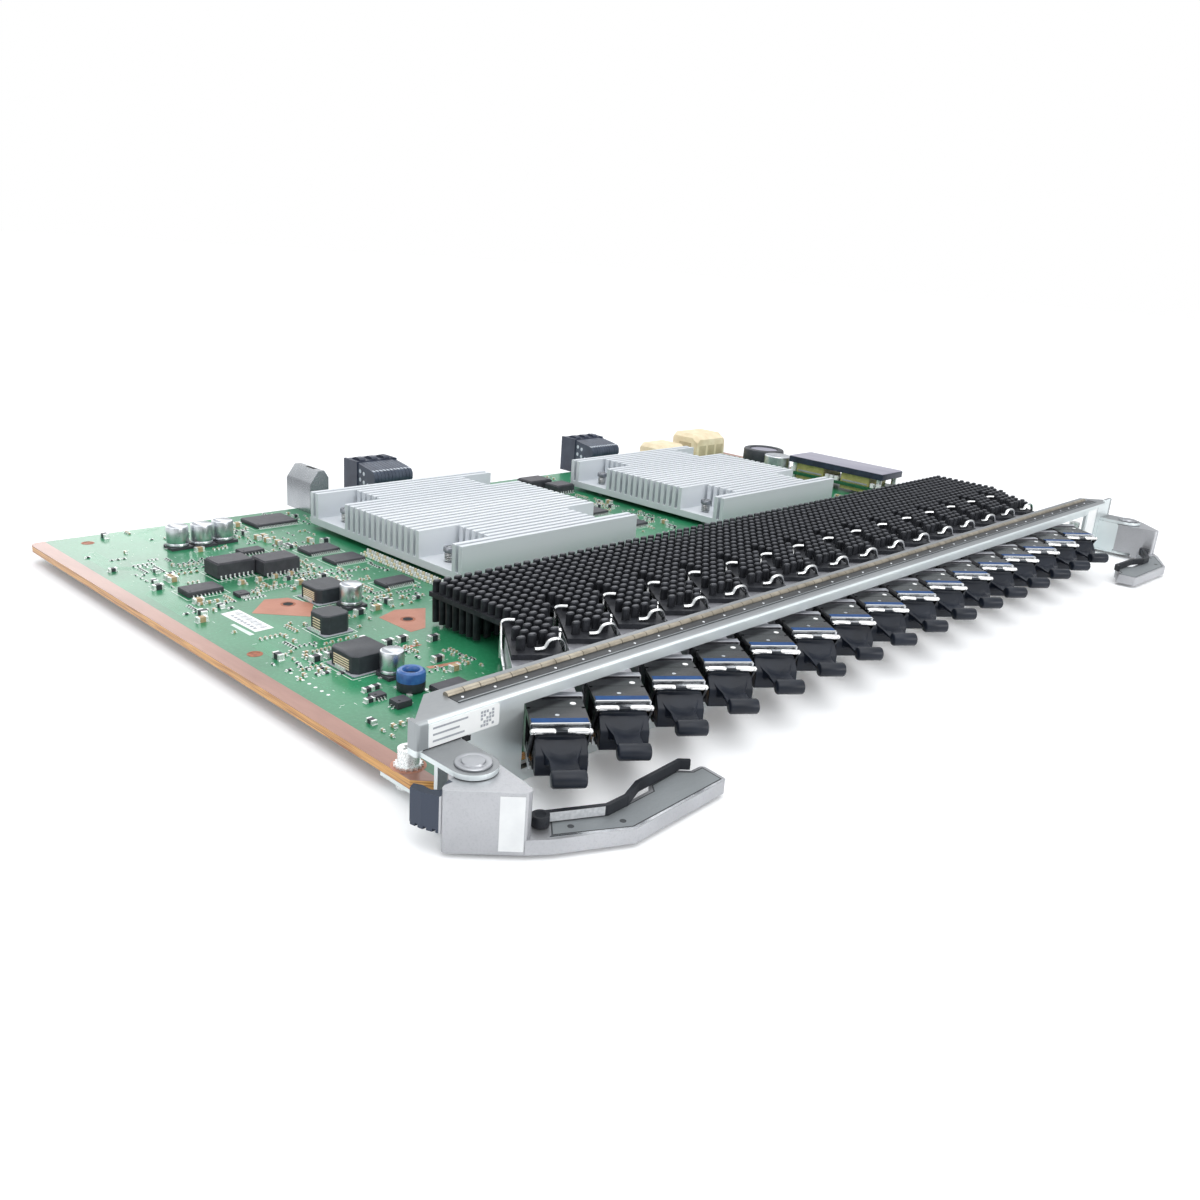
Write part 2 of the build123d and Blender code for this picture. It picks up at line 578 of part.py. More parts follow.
def heat_sink_clip():
    """A flat wire clip: a waved arm in front, a hook behind, joined down the cage's sides."""
    strip = CLIP_STRIP
    side = cage_outer_width / 2 + CLIP_SIDE_GAP
    arm_low = port_plate_high + 0.05
    wave = [(0.2, arm_low), (2.6, arm_low), (4.2, arm_low + 1.3), (6.4, arm_low + 1.2), (side, arm_low - 0.2),
            (side, CLIP_LOW), (side + strip, CLIP_LOW), (side + strip, arm_low + 0.4), (6.8, arm_low + 2.1),
            (3.8, arm_low + 2.2), (2.3, arm_low + strip), (0.2, arm_low + strip * 0.6)]
    front = front_slab(wave, CLIP_FRONT_ARM, CLIP_FRONT_ARM + strip)
    right_run = block(side, side + strip, CLIP_FRONT_ARM, 46.4, CLIP_LOW, CLIP_LOW + strip)
    right_post = block(side, side + strip, 45.5, 46.4, CLIP_LOW, arm_low + strip)
    cross = block(-side - strip, side + strip, 45.5, 46.4, arm_low, arm_low + strip)
    left_post = block(-side - strip, -side, 45.5, 46.4, CLIP_LOW, arm_low + strip)
    left_run = block(-side - strip, -side, 45.5, CLIP_REAR_ARM - 5.0, CLIP_LOW, CLIP_LOW + strip)
    hook = front_slab([(-side - strip, CLIP_LOW), (-side, CLIP_LOW), (-side, arm_low + 0.6), (-4.4, arm_low + 0.6),
                       (-4.4, arm_low + 0.6 + strip), (-side - strip, arm_low + 0.6 + strip)],
                      CLIP_REAR_ARM - 5.9, CLIP_REAR_ARM - 5.0)
    return front + right_run + right_post + cross + left_post + left_run + hook


def large_heat_sink(left):
    """An aluminium sink: fins along X on a base, with a pocket for a spring screw in each corner."""
    right = left + SINK_LENGTH
    back = SINK_FRONT_Y + SINK_DEPTH
    sink = block(left, right, SINK_FRONT_Y, back, processor_top, processor_top + SINK_BASE)
    count = int((SINK_DEPTH - SINK_FIN_THICKNESS) / SINK_FIN_PITCH) + 1
    spare = (SINK_DEPTH - SINK_FIN_THICKNESS) / (count - 1)
    pocket_rows = [(SINK_FRONT_Y + SINK_POCKET_INSET, SINK_FRONT_Y + SINK_POCKET_INSET + SINK_POCKET_DEPTH),
                   (back - SINK_POCKET_INSET - SINK_POCKET_DEPTH, back - SINK_POCKET_INSET)]
    for index in range(count):
        y = SINK_FRONT_Y + index * spare
        in_pocket = any(y + SINK_FIN_THICKNESS > low and y < high for low, high in pocket_rows)
        inset = SINK_POCKET_LENGTH if in_pocket else 0
        sink += block(left + inset, right - inset, y, y + SINK_FIN_THICKNESS, processor_top + SINK_BASE, SINK_TOP)
    holes = [upright(x, y, processor_top, processor_top + SINK_BASE, SINK_SCREW_RADIUS + SINK_SCREW_CLEARANCE)
             for x, y in sink_screw_places() if left < x < right]
    return sink - holes


def sink_screw(x, y):
    """A shouldered screw that holds a heat sink down on its spring."""
    low = board_bottom - SINK_SCREW_TIP
    base_top = processor_top + SINK_BASE
    shank_top = base_top + SINK_SCREW_FREE_LENGTH
    screw = upright(x, y, low, shank_top, SINK_SCREW_RADIUS)
    screw += upright(x, y, shank_top, shank_top + SINK_SCREW_HEAD_HEIGHT, SINK_SCREW_HEAD_RADIUS)
    return screw + upright(x, y, base_top, shank_top, SINK_SPRING_RADIUS)


def processor(left):
    """The packaged chip under a large heat sink."""
    x = left + SINK_LENGTH / 2
    y = SINK_FRONT_Y + SINK_DEPTH / 2
    half = PROCESSOR_SIZE / 2
    return block(x - half, x + half, y - half, y + half, BOARD_TOP, processor_top)


def guide_block():
    """The metal socket that finds the backplane's guide pin, its left shoulder cut away."""
    back = BOARD_BACK + CONNECTOR_OVERHANG - 1.5
    front = back - GUIDE_DEPTH
    left = GUIDE_LEFT
    right = left + GUIDE_WIDTH
    top = GUIDE_TOP
    outline = [(left, BOARD_TOP), (right, BOARD_TOP), (right, top - 3.0), (right - 2.0, top), (left + 4.0, top),
               (left + 0.6, top - 4.6), (left, top - 5.6)]
    bore = Pos((left + right) / 2, back - GUIDE_BORE_DEPTH / 2, BOARD_TOP + GUIDE_BORE_HEIGHT) * Rot(90, 0, 0)
    return front_slab(outline, front, back) - bore * Cylinder(GUIDE_BORE_RADIUS, GUIDE_BORE_DEPTH)


def backplane_connector(left, right):
    """A right angle connector: a mating housing past the board's edge and chamfered wafers."""
    back = BOARD_BACK + CONNECTOR_OVERHANG
    top = CONNECTOR_TOP
    wall = back - CONNECTOR_HOUSING_DEPTH
    slope = back - CONNECTOR_SLOPE_START
    front = back - CONNECTOR_DEPTH
    nose = top - CONNECTOR_FRONT_DROP
    wafer_profile = [(wall, BOARD_TOP), (wall, top - 0.6), (slope, top - 0.6), (front + 4.0, nose + 1.6),
                     (front + 1.0, nose + 0.8), (front, nose - 0.8), (front, nose - 3.0), (front + 0.8, nose - 4.4),
                     (front + 0.8, BOARD_TOP)]
    connector = block(left, right, wall, back, BOARD_TOP, top) + side_slab(wafer_profile, left + 0.4, right - 0.4)
    bays = int((right - left - 2.0) / CONNECTOR_BAY_LENGTH)
    pitch = (right - left - 2.0) / bays
    hook = [(back - 8.4, top), (back - 7.6, top + 0.9), (back - 4.4, top + 0.9), (back - 2.4, top)]
    for index in range(bays):
        x = left + 1.0 + index * pitch
        for across in (0.25, 0.75):
            slot = x + pitch * across
            connector -= block(slot - 0.7, slot + 0.7, back - 5.0, back, BOARD_TOP + 2.0, top - 2.0)
        connector += side_slab(hook, x + pitch / 2 - 1.5, x + pitch / 2 + 1.5)
    return connector


def power_connector(left, right, top):
    """An ivory moulded power connector: a hipped roof over blade slots, on a narrower foot."""
    back = BOARD_BACK + CONNECTOR_OVERHANG - 0.5
    front = back - 19.0
    profile = [(back, BOARD_TOP + 1.0), (back, top - 1.0), (back - 1.0, top), (front + 4.0, top),
               (front, top - 2.6), (front, BOARD_TOP), (BOARD_BACK - 0.5, BOARD_TOP), (BOARD_BACK - 0.5, BOARD_TOP + 1.0)]
    body = side_slab(profile, left, right)
    body = chamfer(body.edges().filter_by(Axis.Y).group_by(Axis.Z)[-1], POWER_ROOF_CUT)
    blades = int((right - left - 2.0) / POWER_BLADE_PITCH)
    pitch = (right - left - 2.0) / blades
    for index in range(blades):
        mid = left + 1.0 + (index + 0.5) * pitch
        body -= block(mid - 1.1, mid + 1.1, back - 8.0, back, BOARD_TOP + 4.0, top - 3.0)
    return body


def power_module():
    """A power converter brick: board, ferrite cores and a thick base plate on top, on pins."""
    right = BRICK_LEFT + BRICK_WIDTH
    back = BRICK_FRONT_Y + BRICK_DEPTH
    plate_low = BRICK_TOP - BRICK_PLATE
    board_low = BOARD_TOP + BRICK_BOARD_LIFT
    board_high = board_low + BRICK_BOARD
    module = block(BRICK_LEFT, right, BRICK_FRONT_Y, back, plate_low, BRICK_TOP)
    module = fillet(module.edges().filter_by(Axis.Z), 0.8)
    module += block(BRICK_LEFT + 0.4, right - 0.4, BRICK_FRONT_Y + 0.4, back - 0.4, board_low, board_high)
    for y0, y1 in ((BRICK_FRONT_Y + 8.0, BRICK_FRONT_Y + 25.0), (back - 22.0, back - 5.0)):
        module += block(BRICK_LEFT + 2.0, right - 2.0, y0, y1, board_low - 2.0, plate_low)
    for x in (BRICK_LEFT + 3.0, right - 3.0):
        for y in (BRICK_FRONT_Y + 3.0, back - 3.0):
            module += upright(x, y, BOARD_TOP, board_low, 1.0)
            module += upright(x, y, board_high, plate_low, 1.4)
    return module


def can(x, y, diameter, height):
    """A small aluminium electrolytic capacitor on its square base."""
    half = diameter / 2
    base = block(x - half, x + half, y - half, y + half, BOARD_TOP, BOARD_TOP + 1.0)
    body = upright(x, y, BOARD_TOP + 1.0, BOARD_TOP + height, half - 0.15)
    return base + body


def capacitors():
    cans = [can(41.0, 199.8, 8.0, 8.2), can(49.6, 198.6, 8.0, 8.2), can(58.2, 199.6, 8.0, 8.2),
            can(55.4, 111.1, 7.4, 7.6), can(32.6, 57.2, 7.0, 7.4)]
    return cans + [can(373.0, 169.0, 15.0, 11.4)]


def flat_chip(x, y, length, depth, height):
    return block(x - length / 2, x + length / 2, y - depth / 2, y + depth / 2, BOARD_TOP, BOARD_TOP + height)


def board_chips():
    """Packaged chips of the open part of the board: x, y, size along X, size along Y, height."""
    chips = [(86.0, 215.0, 18.0, 13.0, 1.6), (80.5, 170.0, 13.0, 8.5, 1.4), (81.5, 155.0, 13.0, 8.5, 1.4),
             (80.5, 123.0, 12.0, 7.0, 1.4), (24.4, 149.0, 12.0, 7.5, 1.8), (39.2, 39.2, 10.0, 8.0, 1.6),
             (59.0, 181.0, 9.0, 5.0, 1.4), (33.0, 139.0, 4.0, 4.0, 1.2), (20.9, 47.2, 4.0, 3.0, 1.2),
             (22.8, 39.8, 4.5, 4.0, 1.8), (212.0, 160.0, 17.0, 11.0, 1.6), (212.0, 136.0, 17.0, 11.0, 1.6)]
    return [flat_chip(*chip) for chip in chips]


def transformers():
    """The tall black line transformers behind the open part of the board and by the second sink."""
    places = [(41.2, 162.0, 13.5, 9.5, 5.6), (55.0, 156.5, 13.5, 9.5, 5.6), (226.0, 210.0, 14.0, 10.0, 5.0),
              (231.5, 198.0, 11.5, 9.0, 4.4)]
    return [flat_chip(*place) for place in places]


def power_inductors():
    """Shielded inductors, each a chamfered block on a pale foot."""
    coils = []
    for x, y, size, height in ((53.0, 122.5, 11.5, 4.6), (30.0, 68.0, 12.5, 5.0), (38.2, 96.2, 9.0, 5.6)):
        foot = flat_chip(x, y, size + 1.2, size + 1.2, 0.5)
        body = Pos(0, 0, 0.5) * flat_chip(x, y, size, size, height)
        coils.append(foot + chamfer(body.edges().filter_by(Axis.Z), 1.4))
    return coils


def round_inductor():
    """The large round choke at the right of the board, with a shallow dish in its top."""
    x, y = ROUND_CHOKE_PLACE
    top = BOARD_TOP + ROUND_CHOKE_HEIGHT
    core = upright(x, y, BOARD_TOP, top, ROUND_CHOKE_RADIUS)
    core = chamfer(core.edges().group_by(Axis.Z)[-1], 0.8)
    return core - upright(x, y, top - 1.0, top, ROUND_CHOKE_RADIUS * 0.7)


def ring_choke():
    """The small ring core with a blue top."""
    ring = upright(30.8, 46.3, BOARD_TOP + 0.9, BOARD_TOP + 6.0, 3.9)
    ring -= upright(30.8, 46.3, BOARD_TOP + 4.6, BOARD_TOP + 6.0, 1.7)
    return ring + flat_chip(30.8, 46.3, 5.6, 5.6, 1.0)


def all_nodes():
    """Every node's name and its solids."""
    lever = ejector_lever()
    trigger = release_trigger()
    rivet = pivot_rivet()
    screw = panel_screw()
    nodes = {
        "circuit_board": [circuit_board()],
        "front_panel": [front_panel()],
        "emi_gasket": [emi_gasket()],
        "left_ejector_lever": [lever],
        "right_ejector_lever": [mirrored(lever)],
        "left_release_trigger": [trigger],
        "right_release_trigger": [mirrored(trigger)],
        "pivot_rivets": [rivet, mirrored(rivet)],
        "panel_screws": [screw, mirrored(screw)],
        "transceiver_cages": at_every_port(transceiver_cage()),
        "transceivers": at_every_port(transceiver()),
        "heat_sink_clips": at_every_port(heat_sink_clip()),
        "port_heat_sinks": [Pos(FIRST_PORT_X + i * PORT_PITCH, 0, 0) * port_heat_sink() for i in range(PORT_COUNT)],
        "heat_sink_left": [large_heat_sink(SINK_LEFT_EDGES[0])],
        "heat_sink_right": [large_heat_sink(SINK_LEFT_EDGES[1])],
        "heat_sink_screws": [sink_screw(x, y) for x, y in sink_screw_places()],
        "processors": [processor(left) for left in SINK_LEFT_EDGES],
        "guide_block": [guide_block()],
        "backplane_connectors": [backplane_connector(*span) for span in BACKPLANE_SPANS],
        "power_connectors": [power_connector(*span) for span in POWER_SPANS],
        "power_module": [power_module()],
        "capacitors": capacitors(),
        "board_chips": board_chips(),
        "line_transformers": transformers(),
        "power_inductors": power_inductors(),
        "round_inductor": [round_inductor()],
        "ring_choke": [ring_choke()],
    }
    for index, bail in enumerate(at_every_port(bail_latch())):
        nodes[f"bail_latch_{index + 1:02d}"] = [bail]
    for index, plug in enumerate(at_every_port(dust_plug())):
        nodes[f"dust_plug_{index + 1:02d}"] = [plug]
    return nodes


def main():
    os.makedirs("parts", exist_ok=True)
    nodes = all_nodes()
    boxes = [piece.bounding_box() for pieces in nodes.values() for piece in pieces]
    front = min(box.min.Y for box in boxes)
    back = max(box.max.Y for box in boxes)
    left = min(box.min.X for box in boxes)
    right = max(box.max.X for box in boxes)
    low = min(box.min.Z for box in boxes)
    print("frame moved by", -(left + right) / 2, -(front + back) / 2, -low)
    centre = Pos(-(left + right) / 2, -(front + back) / 2, -low)
    for name, pieces in nodes.items():
        placed = [centre * solid for piece in pieces for solid in piece.solids()]
        shape = placed[0] if len(placed) == 1 else Compound(placed)
        export_step(shape, f"parts/{name}.step")


main()
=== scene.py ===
import bmesh
import bpy
import random
from math import cos, degrees, exp, hypot, pi, radians, sin
from mathutils import Matrix, Vector


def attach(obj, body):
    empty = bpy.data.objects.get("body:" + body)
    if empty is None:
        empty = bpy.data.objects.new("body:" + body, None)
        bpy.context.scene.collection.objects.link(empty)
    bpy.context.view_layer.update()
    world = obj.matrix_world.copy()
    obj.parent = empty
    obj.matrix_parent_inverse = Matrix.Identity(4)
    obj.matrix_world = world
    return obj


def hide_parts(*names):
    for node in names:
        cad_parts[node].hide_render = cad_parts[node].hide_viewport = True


# The looks of a sixteen port optical line card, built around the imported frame.
# Everything is drawn in card millimetres: X along the panel from its left end,
# Y back from the panel's front face, Z up from the panel's lower edge.

MM = 0.001
PANEL_LENGTH = 404.4
HALF_LENGTH = PANEL_LENGTH / 2
HALF_DEPTH = 100.95

BOARD_TOP = 6.5
BOARD_BOTTOM = 4.1
BOARD_LEFT = 1.2
BOARD_BACK = 230.3
PANEL_TOP = 23.3

PORT_COUNT = 16
PORT_PITCH = 20.65
FIRST_PORT_X = 37.28
PORT_ANGLE = radians(36.3)

NOSE_HALF = 6.85
NOSE_FRONT = -13.3
NOSE_LOW = 7
NOSE_HIGH = 18.3
CAGE_HIGH = 15.8
PLATE_HIGH = 17.3
PIN_TOP = 20.9
CAGE_END = 61.5
PIVOT = (4.2, -10.8)
SINK_EDGES = (95.5, 240.5)
SINK_FRONT, SINK_REACH, SINK_LENGTH = 105.6, 94.1, 88.5
CONNECTOR_SPANS = ((136.4, 157.5), (271.5, 292.6))
CONNECTOR_BACK = 238.8
IVORY_SPANS = ((334.8, 355.7, 16.4), (364.2, 390.2, 20.8))

BEVEL_FROM, SHARP_FROM = 40, 35
WELD_WITHIN = 0.0000005

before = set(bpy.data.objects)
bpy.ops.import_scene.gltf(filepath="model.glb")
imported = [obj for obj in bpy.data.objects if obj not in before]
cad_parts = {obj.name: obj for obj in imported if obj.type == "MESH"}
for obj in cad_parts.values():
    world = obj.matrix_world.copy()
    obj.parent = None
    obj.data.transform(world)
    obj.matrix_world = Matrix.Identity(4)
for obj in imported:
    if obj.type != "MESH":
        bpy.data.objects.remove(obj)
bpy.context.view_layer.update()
rng = random.Random(7)


# Geometry.


def card(point):
    """A point in card millimetres as a point of the row frame, in metres."""
    x, y, z = point
    return Vector(((x - HALF_LENGTH) * MM, (y - HALF_DEPTH) * MM, z * MM))


def spot(x, y):
    """A place on the card, not turned."""
    return Matrix.Translation((x, y, 0))


def port_place(index):
    """Where a port stands: its own Y runs back along the slanted cage."""
    return spot(FIRST_PORT_X + index * PORT_PITCH, 0) @ Matrix.Rotation(-PORT_ANGLE, 4, "Z")


def mirrored():
    """The mirror image about the middle of the panel."""
    return Matrix.Translation((PANEL_LENGTH, 0, 0)) @ Matrix.Scale(-1, 4, (1, 0, 0))


def arc(x, y, radius, start, end, steps):
    """Points of an arc, angles in degrees."""
    angles = [radians(start + (end - start) * step / steps) for step in range(steps + 1)]
    return [(x + radius * cos(angle), y + radius * sin(angle)) for angle in angles]


def above(*heights):
    """Heights over the board's upper face."""
    return [BOARD_TOP + height for height in heights]


def outward(middle, side, near, far):
    """The span from near to far on one side of the middle, side being -1 or 1."""
    return sorted((middle + side * near, middle + side * far))


def rounded(x0, x1, y0, y1, radius, steps=4):
    """A rectangle with rounded corners."""
    points = arc(x1 - radius, y1 - radius, radius, 0, 90, steps)
    points += arc(x0 + radius, y1 - radius, radius, 90, 180, steps)
    points += arc(x0 + radius, y0 + radius, radius, 180, 270, steps)
    points += arc(x1 - radius, y0 + radius, radius, 270, 360, steps)
    return points


def grown(outline, by):
    """An outline in plan with every side moved out by that much; the points run anticlockwise."""
    out = []
    count = len(outline)
    for index in range(count):
        here = Vector(outline[index])
        before = (here - Vector(outline[index - 1])).normalized()
        after = (Vector(outline[(index + 1) % count]) - here).normalized()
        lean = Vector((before.y + after.y, -before.x - after.x))
        lean = lean / max(0.3, lean.length_squared / 2)
        out.append(tuple(here + lean * by))
    return out


def flowing(points, steps=5):
    """A smooth line through the points."""
    if len(points) < 3:
        return [Vector(p) for p in points]
    line = [Vector(p) for p in points]
    ends = [line[0] * 2 - line[1]] + line + [line[-1] * 2 - line[-2]]
    out = []
    for index in range(1, len(ends) - 2):
        a, b, c, d = ends[index - 1: index + 3]
        for step in range(steps):
            t = step / steps
            out.append(((b * 2) + (c - a) * t + (a * 2 - b * 5 + c * 4 - d) * t * t
                        + (b * 3 - a - c * 3 + d) * t ** 3) * 0.5)
    out.append(line[-1])
    return out


UPRIGHT = Matrix()
ALONG_X = Matrix(((0, 0, 1, 0), (1, 0, 0, 0), (0, 1, 0, 0), (0, 0, 0, 1)))
ALONG_Y = Matrix(((1, 0, 0, 0), (0, 0, 1, 0), (0, 1, 0, 0), (0, 0, 0, 1)))


def soften(thing, width, segments):
    """Edges bevelled by a width in millimetres."""
    edge = thing.modifiers.new("edges", "BEVEL")
    edge.width = width * MM
    edge.segments = segments
    edge.limit_method = "ANGLE"
    edge.angle_limit = radians(BEVEL_FROM)
    edge.harden_normals = True


class Piece:
    """Faces gathered in card millimetres, which become one object."""

    def __init__(self, place=UPRIGHT):
        self.points, self.faces, self.slots = [], [], []
        self.place = place

    def at(self, place):
        """What is drawn next stands at this place."""
        self.place = place

    def add(self, points, faces, slot, turn):
        base, place = len(self.points), self.place @ turn
        self.points += [place @ Vector(point) for point in points]
        self.faces += [[base + index for index in face] for face in faces]
        self.slots += [slot] * len(faces)

    def prism(self, outline, z0, z1, slot=0, taper=1, turn=UPRIGHT):
        """An outline in plan, drawn up, its top narrowed about its middle by taper."""
        count = len(outline)
        mid_x = sum(p[0] for p in outline) / count
        mid_y = sum(p[1] for p in outline) / count
        low = [(x, y, z0) for x, y in outline]
        high = [(mid_x + (x - mid_x) * taper, mid_y + (y - mid_y) * taper, z1) for x, y in outline]
        sides = [[i, (i + 1) % count, count + (i + 1) % count, count + i] for i in range(count)]
        self.add(low + high, sides + [list(range(count))[::-1]], slot, turn)
        self.add(high, [list(range(count))], slot, turn)

    def box(self, x0, x1, y0, y1, z0, z1, slot=0):
        self.prism([(x0, y0), (x1, y0), (x1, y1), (x0, y1)], z0, z1, slot)

    def boxes(self, slot, *rows):
        for row in rows:
            self.box(*row, slot)

    def bar(self, first, second, z0, z1, slot, swapped):
        """A box from its spans along X and Y, or along Y and X where swapped."""
        self.box(*(second + first if swapped else first + second), z0, z1, slot)

    def side_prism(self, outline, x0, x1, slot=0):
        """An outline of (y, z) points drawn along X."""
        self.prism(outline, x0, x1, slot, turn=ALONG_X)

    def front_prism(self, outline, y0, y1, slot=0):
        """An outline of (x, z) points drawn along Y."""
        self.prism(outline, y0, y1, slot, turn=ALONG_Y)

    def turned(self, profile, slot=0, steps=24, turn=UPRIGHT):
        """A profile of (radius, z) points turned about Z."""
        angles = [2 * pi * k / steps for k in range(steps)]
        self.loft([[(radius * cos(a), radius * sin(a), z) for a in angles] for radius, z in profile],
                  slot, turn)

    def loft(self, rings, slot=0, turn=UPRIGHT):
        """A skin over rings of points, with both ends closed."""
        count, last = len(rings[0]), (len(rings) - 1) * len(rings[0])
        faces = [[a + i, a + (i + 1) % count, a + count + (i + 1) % count, a + count + i]
                 for a in range(0, last, count) for i in range(count)]
        ends = [list(range(count))[::-1], [last + i for i in range(count)]]
        self.add([p for ring in rings for p in ring], faces + ends, slot, turn)

    def tube(self, path, radius, slot=0, sides=8, flat=1, ball=0):
        """A wire along a path, with a ball of that radius at its end if asked."""
        line = [Vector(p) for p in path]
        rings = []
        normal = None
        for index, point in enumerate(line):
            ahead = line[min(index + 1, len(line) - 1)] - line[max(index - 1, 0)]
            ahead.normalize()
            if normal is None:
                normal = Vector((0, 0, 1)) if abs(ahead.z) < 0.9 else Vector((1, 0, 0))
            normal = (normal - ahead * normal.dot(ahead)).normalized()
            other = ahead.cross(normal)
            rings.append([point + normal * (radius * cos(2 * pi * k / sides))
                          + other * (radius * flat * sin(2 * pi * k / sides)) for k in range(sides)])
        self.loft(rings, slot)
        if ball:
            self.ball(line[-1], ball, slot)

    def ball(self, centre, radius, slot=0, squash=1):
        rings = []
        for angle in [pi * level / 6 for level in range(1, 6)]:
            height = centre[2] - radius * squash * cos(angle)
            ring = arc(centre[0], centre[1], radius * sin(angle), 0, 324, 9)
            rings.append([(x, y, height) for x, y in ring])
        self.loft(rings, slot)

    def build(self, name, looks, body, stands_for=(), bevel=0, segments=2):
        """The object, riding on a body of the frame."""
        mesh = bpy.data.meshes.new(name)
        mesh.from_pydata([card(p) for p in self.points], [], self.faces)
        for look in looks:
            mesh.materials.append(look)
        shape = bmesh.new()
        shape.from_mesh(mesh)
        for face, slot in zip(shape.faces, self.slots):
            face.material_index = slot
            face.smooth = True
        bmesh.ops.remove_doubles(shape, verts=shape.verts, dist=WELD_WITHIN)
        bmesh.ops.recalc_face_normals(shape, faces=shape.faces)
        shape.to_mesh(mesh)
        shape.free()
        mesh.set_sharp_from_angle(angle=radians(SHARP_FROM))
        thing = bpy.data.objects.new(name, mesh)
        bpy.context.scene.collection.objects.link(thing)
        if bevel:
            soften(thing, bevel, segments)
        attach(thing, body)
        if stands_for:
            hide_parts(*stands_for)


# Materials.


def paint(red, green, blue):
    """A colour given as it looks on a screen, 0 to 255, in the renderer's own scale."""
    out = []
    for value in (red, green, blue):
        share = value / 255
        out.append(share / 12.92 if share <= 0.04045 else ((share + 0.055) / 1.055) ** 2.4)
    return (*out, 1)


class Nodes:
    """A node tree; an input given as a socket is wired, any other value is set."""

    def __init__(self, tree):
        self.tree = tree

    def feed(self, value, socket):
        if isinstance(value, bpy.types.NodeSocket):
            self.tree.links.new(value, socket)
        else:
            socket.default_value = value

    def node(self, kind, inputs=(), **settings):
        new = self.tree.nodes.new(kind)
        for key, value in settings.items():
            setattr(new, key, value)
        for key, value in dict(inputs).items():
            self.feed(value, new.inputs[key])
        return new

    def maths(self, kind, *values, **settings):
        return self.node("ShaderNodeMath", enumerate(values), operation=kind, **settings).outputs[0]

    def split(self, source, axis):
        return self.node("ShaderNodeSeparateXYZ", {0: source}).outputs[axis]


class Look(Nodes):
    """One procedural material on the principled shader."""

    def __init__(self, name, metal=0, rough=0.5, coat=0, coat_rough=0.1, specular=0.5):
        self.material = bpy.data.materials.new(name)
        self.material.use_nodes = True
        super().__init__(self.material.node_tree)
        self.shader = self.tree.nodes["Principled BSDF"]
        for key, value in (("Metallic", metal), ("Roughness", rough), ("Coat Weight", coat),
                           ("Coat Roughness", coat_rough), ("Specular IOR Level", specular)):
            self.shader.inputs[key].default_value = value
        self.place = self.node("ShaderNodeTexCoord").outputs["Object"]

    def noise(self, size_mm, detail=4, rough=0.5, stretch=(1, 1, 1)):
        """Noise whose spots are about size_mm across, drawn out by stretch."""
        scale = [1000 / size_mm / s for s in stretch]
        mapped = self.node("ShaderNodeMapping", {"Vector": self.place, "Scale": scale}).outputs["Vector"]
        return self.node("ShaderNodeTexNoise", {"Vector": mapped, "Scale": 1, "Detail": detail,
                                                "Roughness": rough}).outputs["Fac"]

    def ramp(self, source, *stops):
        """Colours over a source; a stop is a position and a screen colour, or a plain grey for a mask."""
        ramp = self.node("ShaderNodeValToRGB", {"Fac": source})
        band = ramp.color_ramp
        while len(band.elements) < len(stops):
            band.elements.new(0.5)
        for element, (position, colour) in zip(band.elements, stops):
            element.position = position
            element.color = paint(*colour) if isinstance(colour, tuple) else (colour, colour, colour, 1)
        return ramp.outputs["Color"]

    def blend(self, share, first, second):
        return self.node("ShaderNodeMix", {0: share, 6: first, 7: second}, data_type="RGBA").outputs[2]

    def off_middle(self, distance_mm):
        """1 further from the card's middle along X than that distance, else 0."""
        return self.maths("GREATER_THAN", self.maths("ABSOLUTE", self.axis("X")), distance_mm * MM)

    def axis(self, name):
        return self.split(self.place, name)

    def colour(self, value):
        self.feed(value, self.shader.inputs["Base Color"])

    def rough(self, source, low, high):
        span = self.node("ShaderNodeMapRange", {"Value": source, "To Min": low, "To Max": high})
        self.feed(span.outputs["Result"], self.shader.inputs["Roughness"])

    def bump(self, height, distance_mm):
        node = self.node("ShaderNodeBump", {"Height": height, "Distance": distance_mm * MM, "Strength": 1})
        self.feed(node.outputs["Normal"], self.shader.inputs["Normal"])


def metal(name, light, dark, rough, size=8, stretch=(1, 1, 1), grain=0.4, bump=0.01, metallic=1):
    """A metal with soft cloudy tone, fine grain and slightly uneven gloss."""
    look = Look(name, metal=metallic, rough=rough)
    look.colour(look.ramp(look.noise(size, 3, 0.5, stretch), (0.3, dark), (0.7, light)))
    fine = look.noise(grain, 2, 0.6, stretch)
    look.rough(fine, rough * 0.75, rough * 1.25)
    look.bump(fine, bump)
    return look.material


def plated_panel():
    """Bright sheet with painted shade: its level faces and bent ends are painted greyer than its upright ones."""
    look = Look("plated_sheet", metal=0.65, rough=0.42)
    cloud = look.noise(14, 3, 0.5, (4, 1, 1))
    face = look.ramp(cloud, (0.3, (220, 228, 229)), (0.7, (232, 239, 239)))
    # Painted shade: the darker grey that faces turned upward get.
    level = look.ramp(cloud, (0.3, (140, 143, 145)), (0.7, (154, 157, 159)))
    above_lugs = look.maths("GREATER_THAN", look.axis("Z"), 16.8 * MM)
    # Painted shade on the bent ends above the lugs.
    ends = look.maths("MULTIPLY", look.off_middle(HALF_LENGTH - 0.8), above_lugs)
    face = look.blend(ends, face, paint(160, 165, 167))
    rise = look.split(look.node("ShaderNodeNewGeometry").outputs["Normal"], "Z")
    look.colour(look.blend(look.ramp(rise, (0.55, 0), (0.85, 1)), face, level))
    fine = look.noise(0.5, 2, 0.6, (4, 1, 1))
    look.rough(fine, 0.32, 0.52)
    look.bump(fine, 0.006)
    return look.material


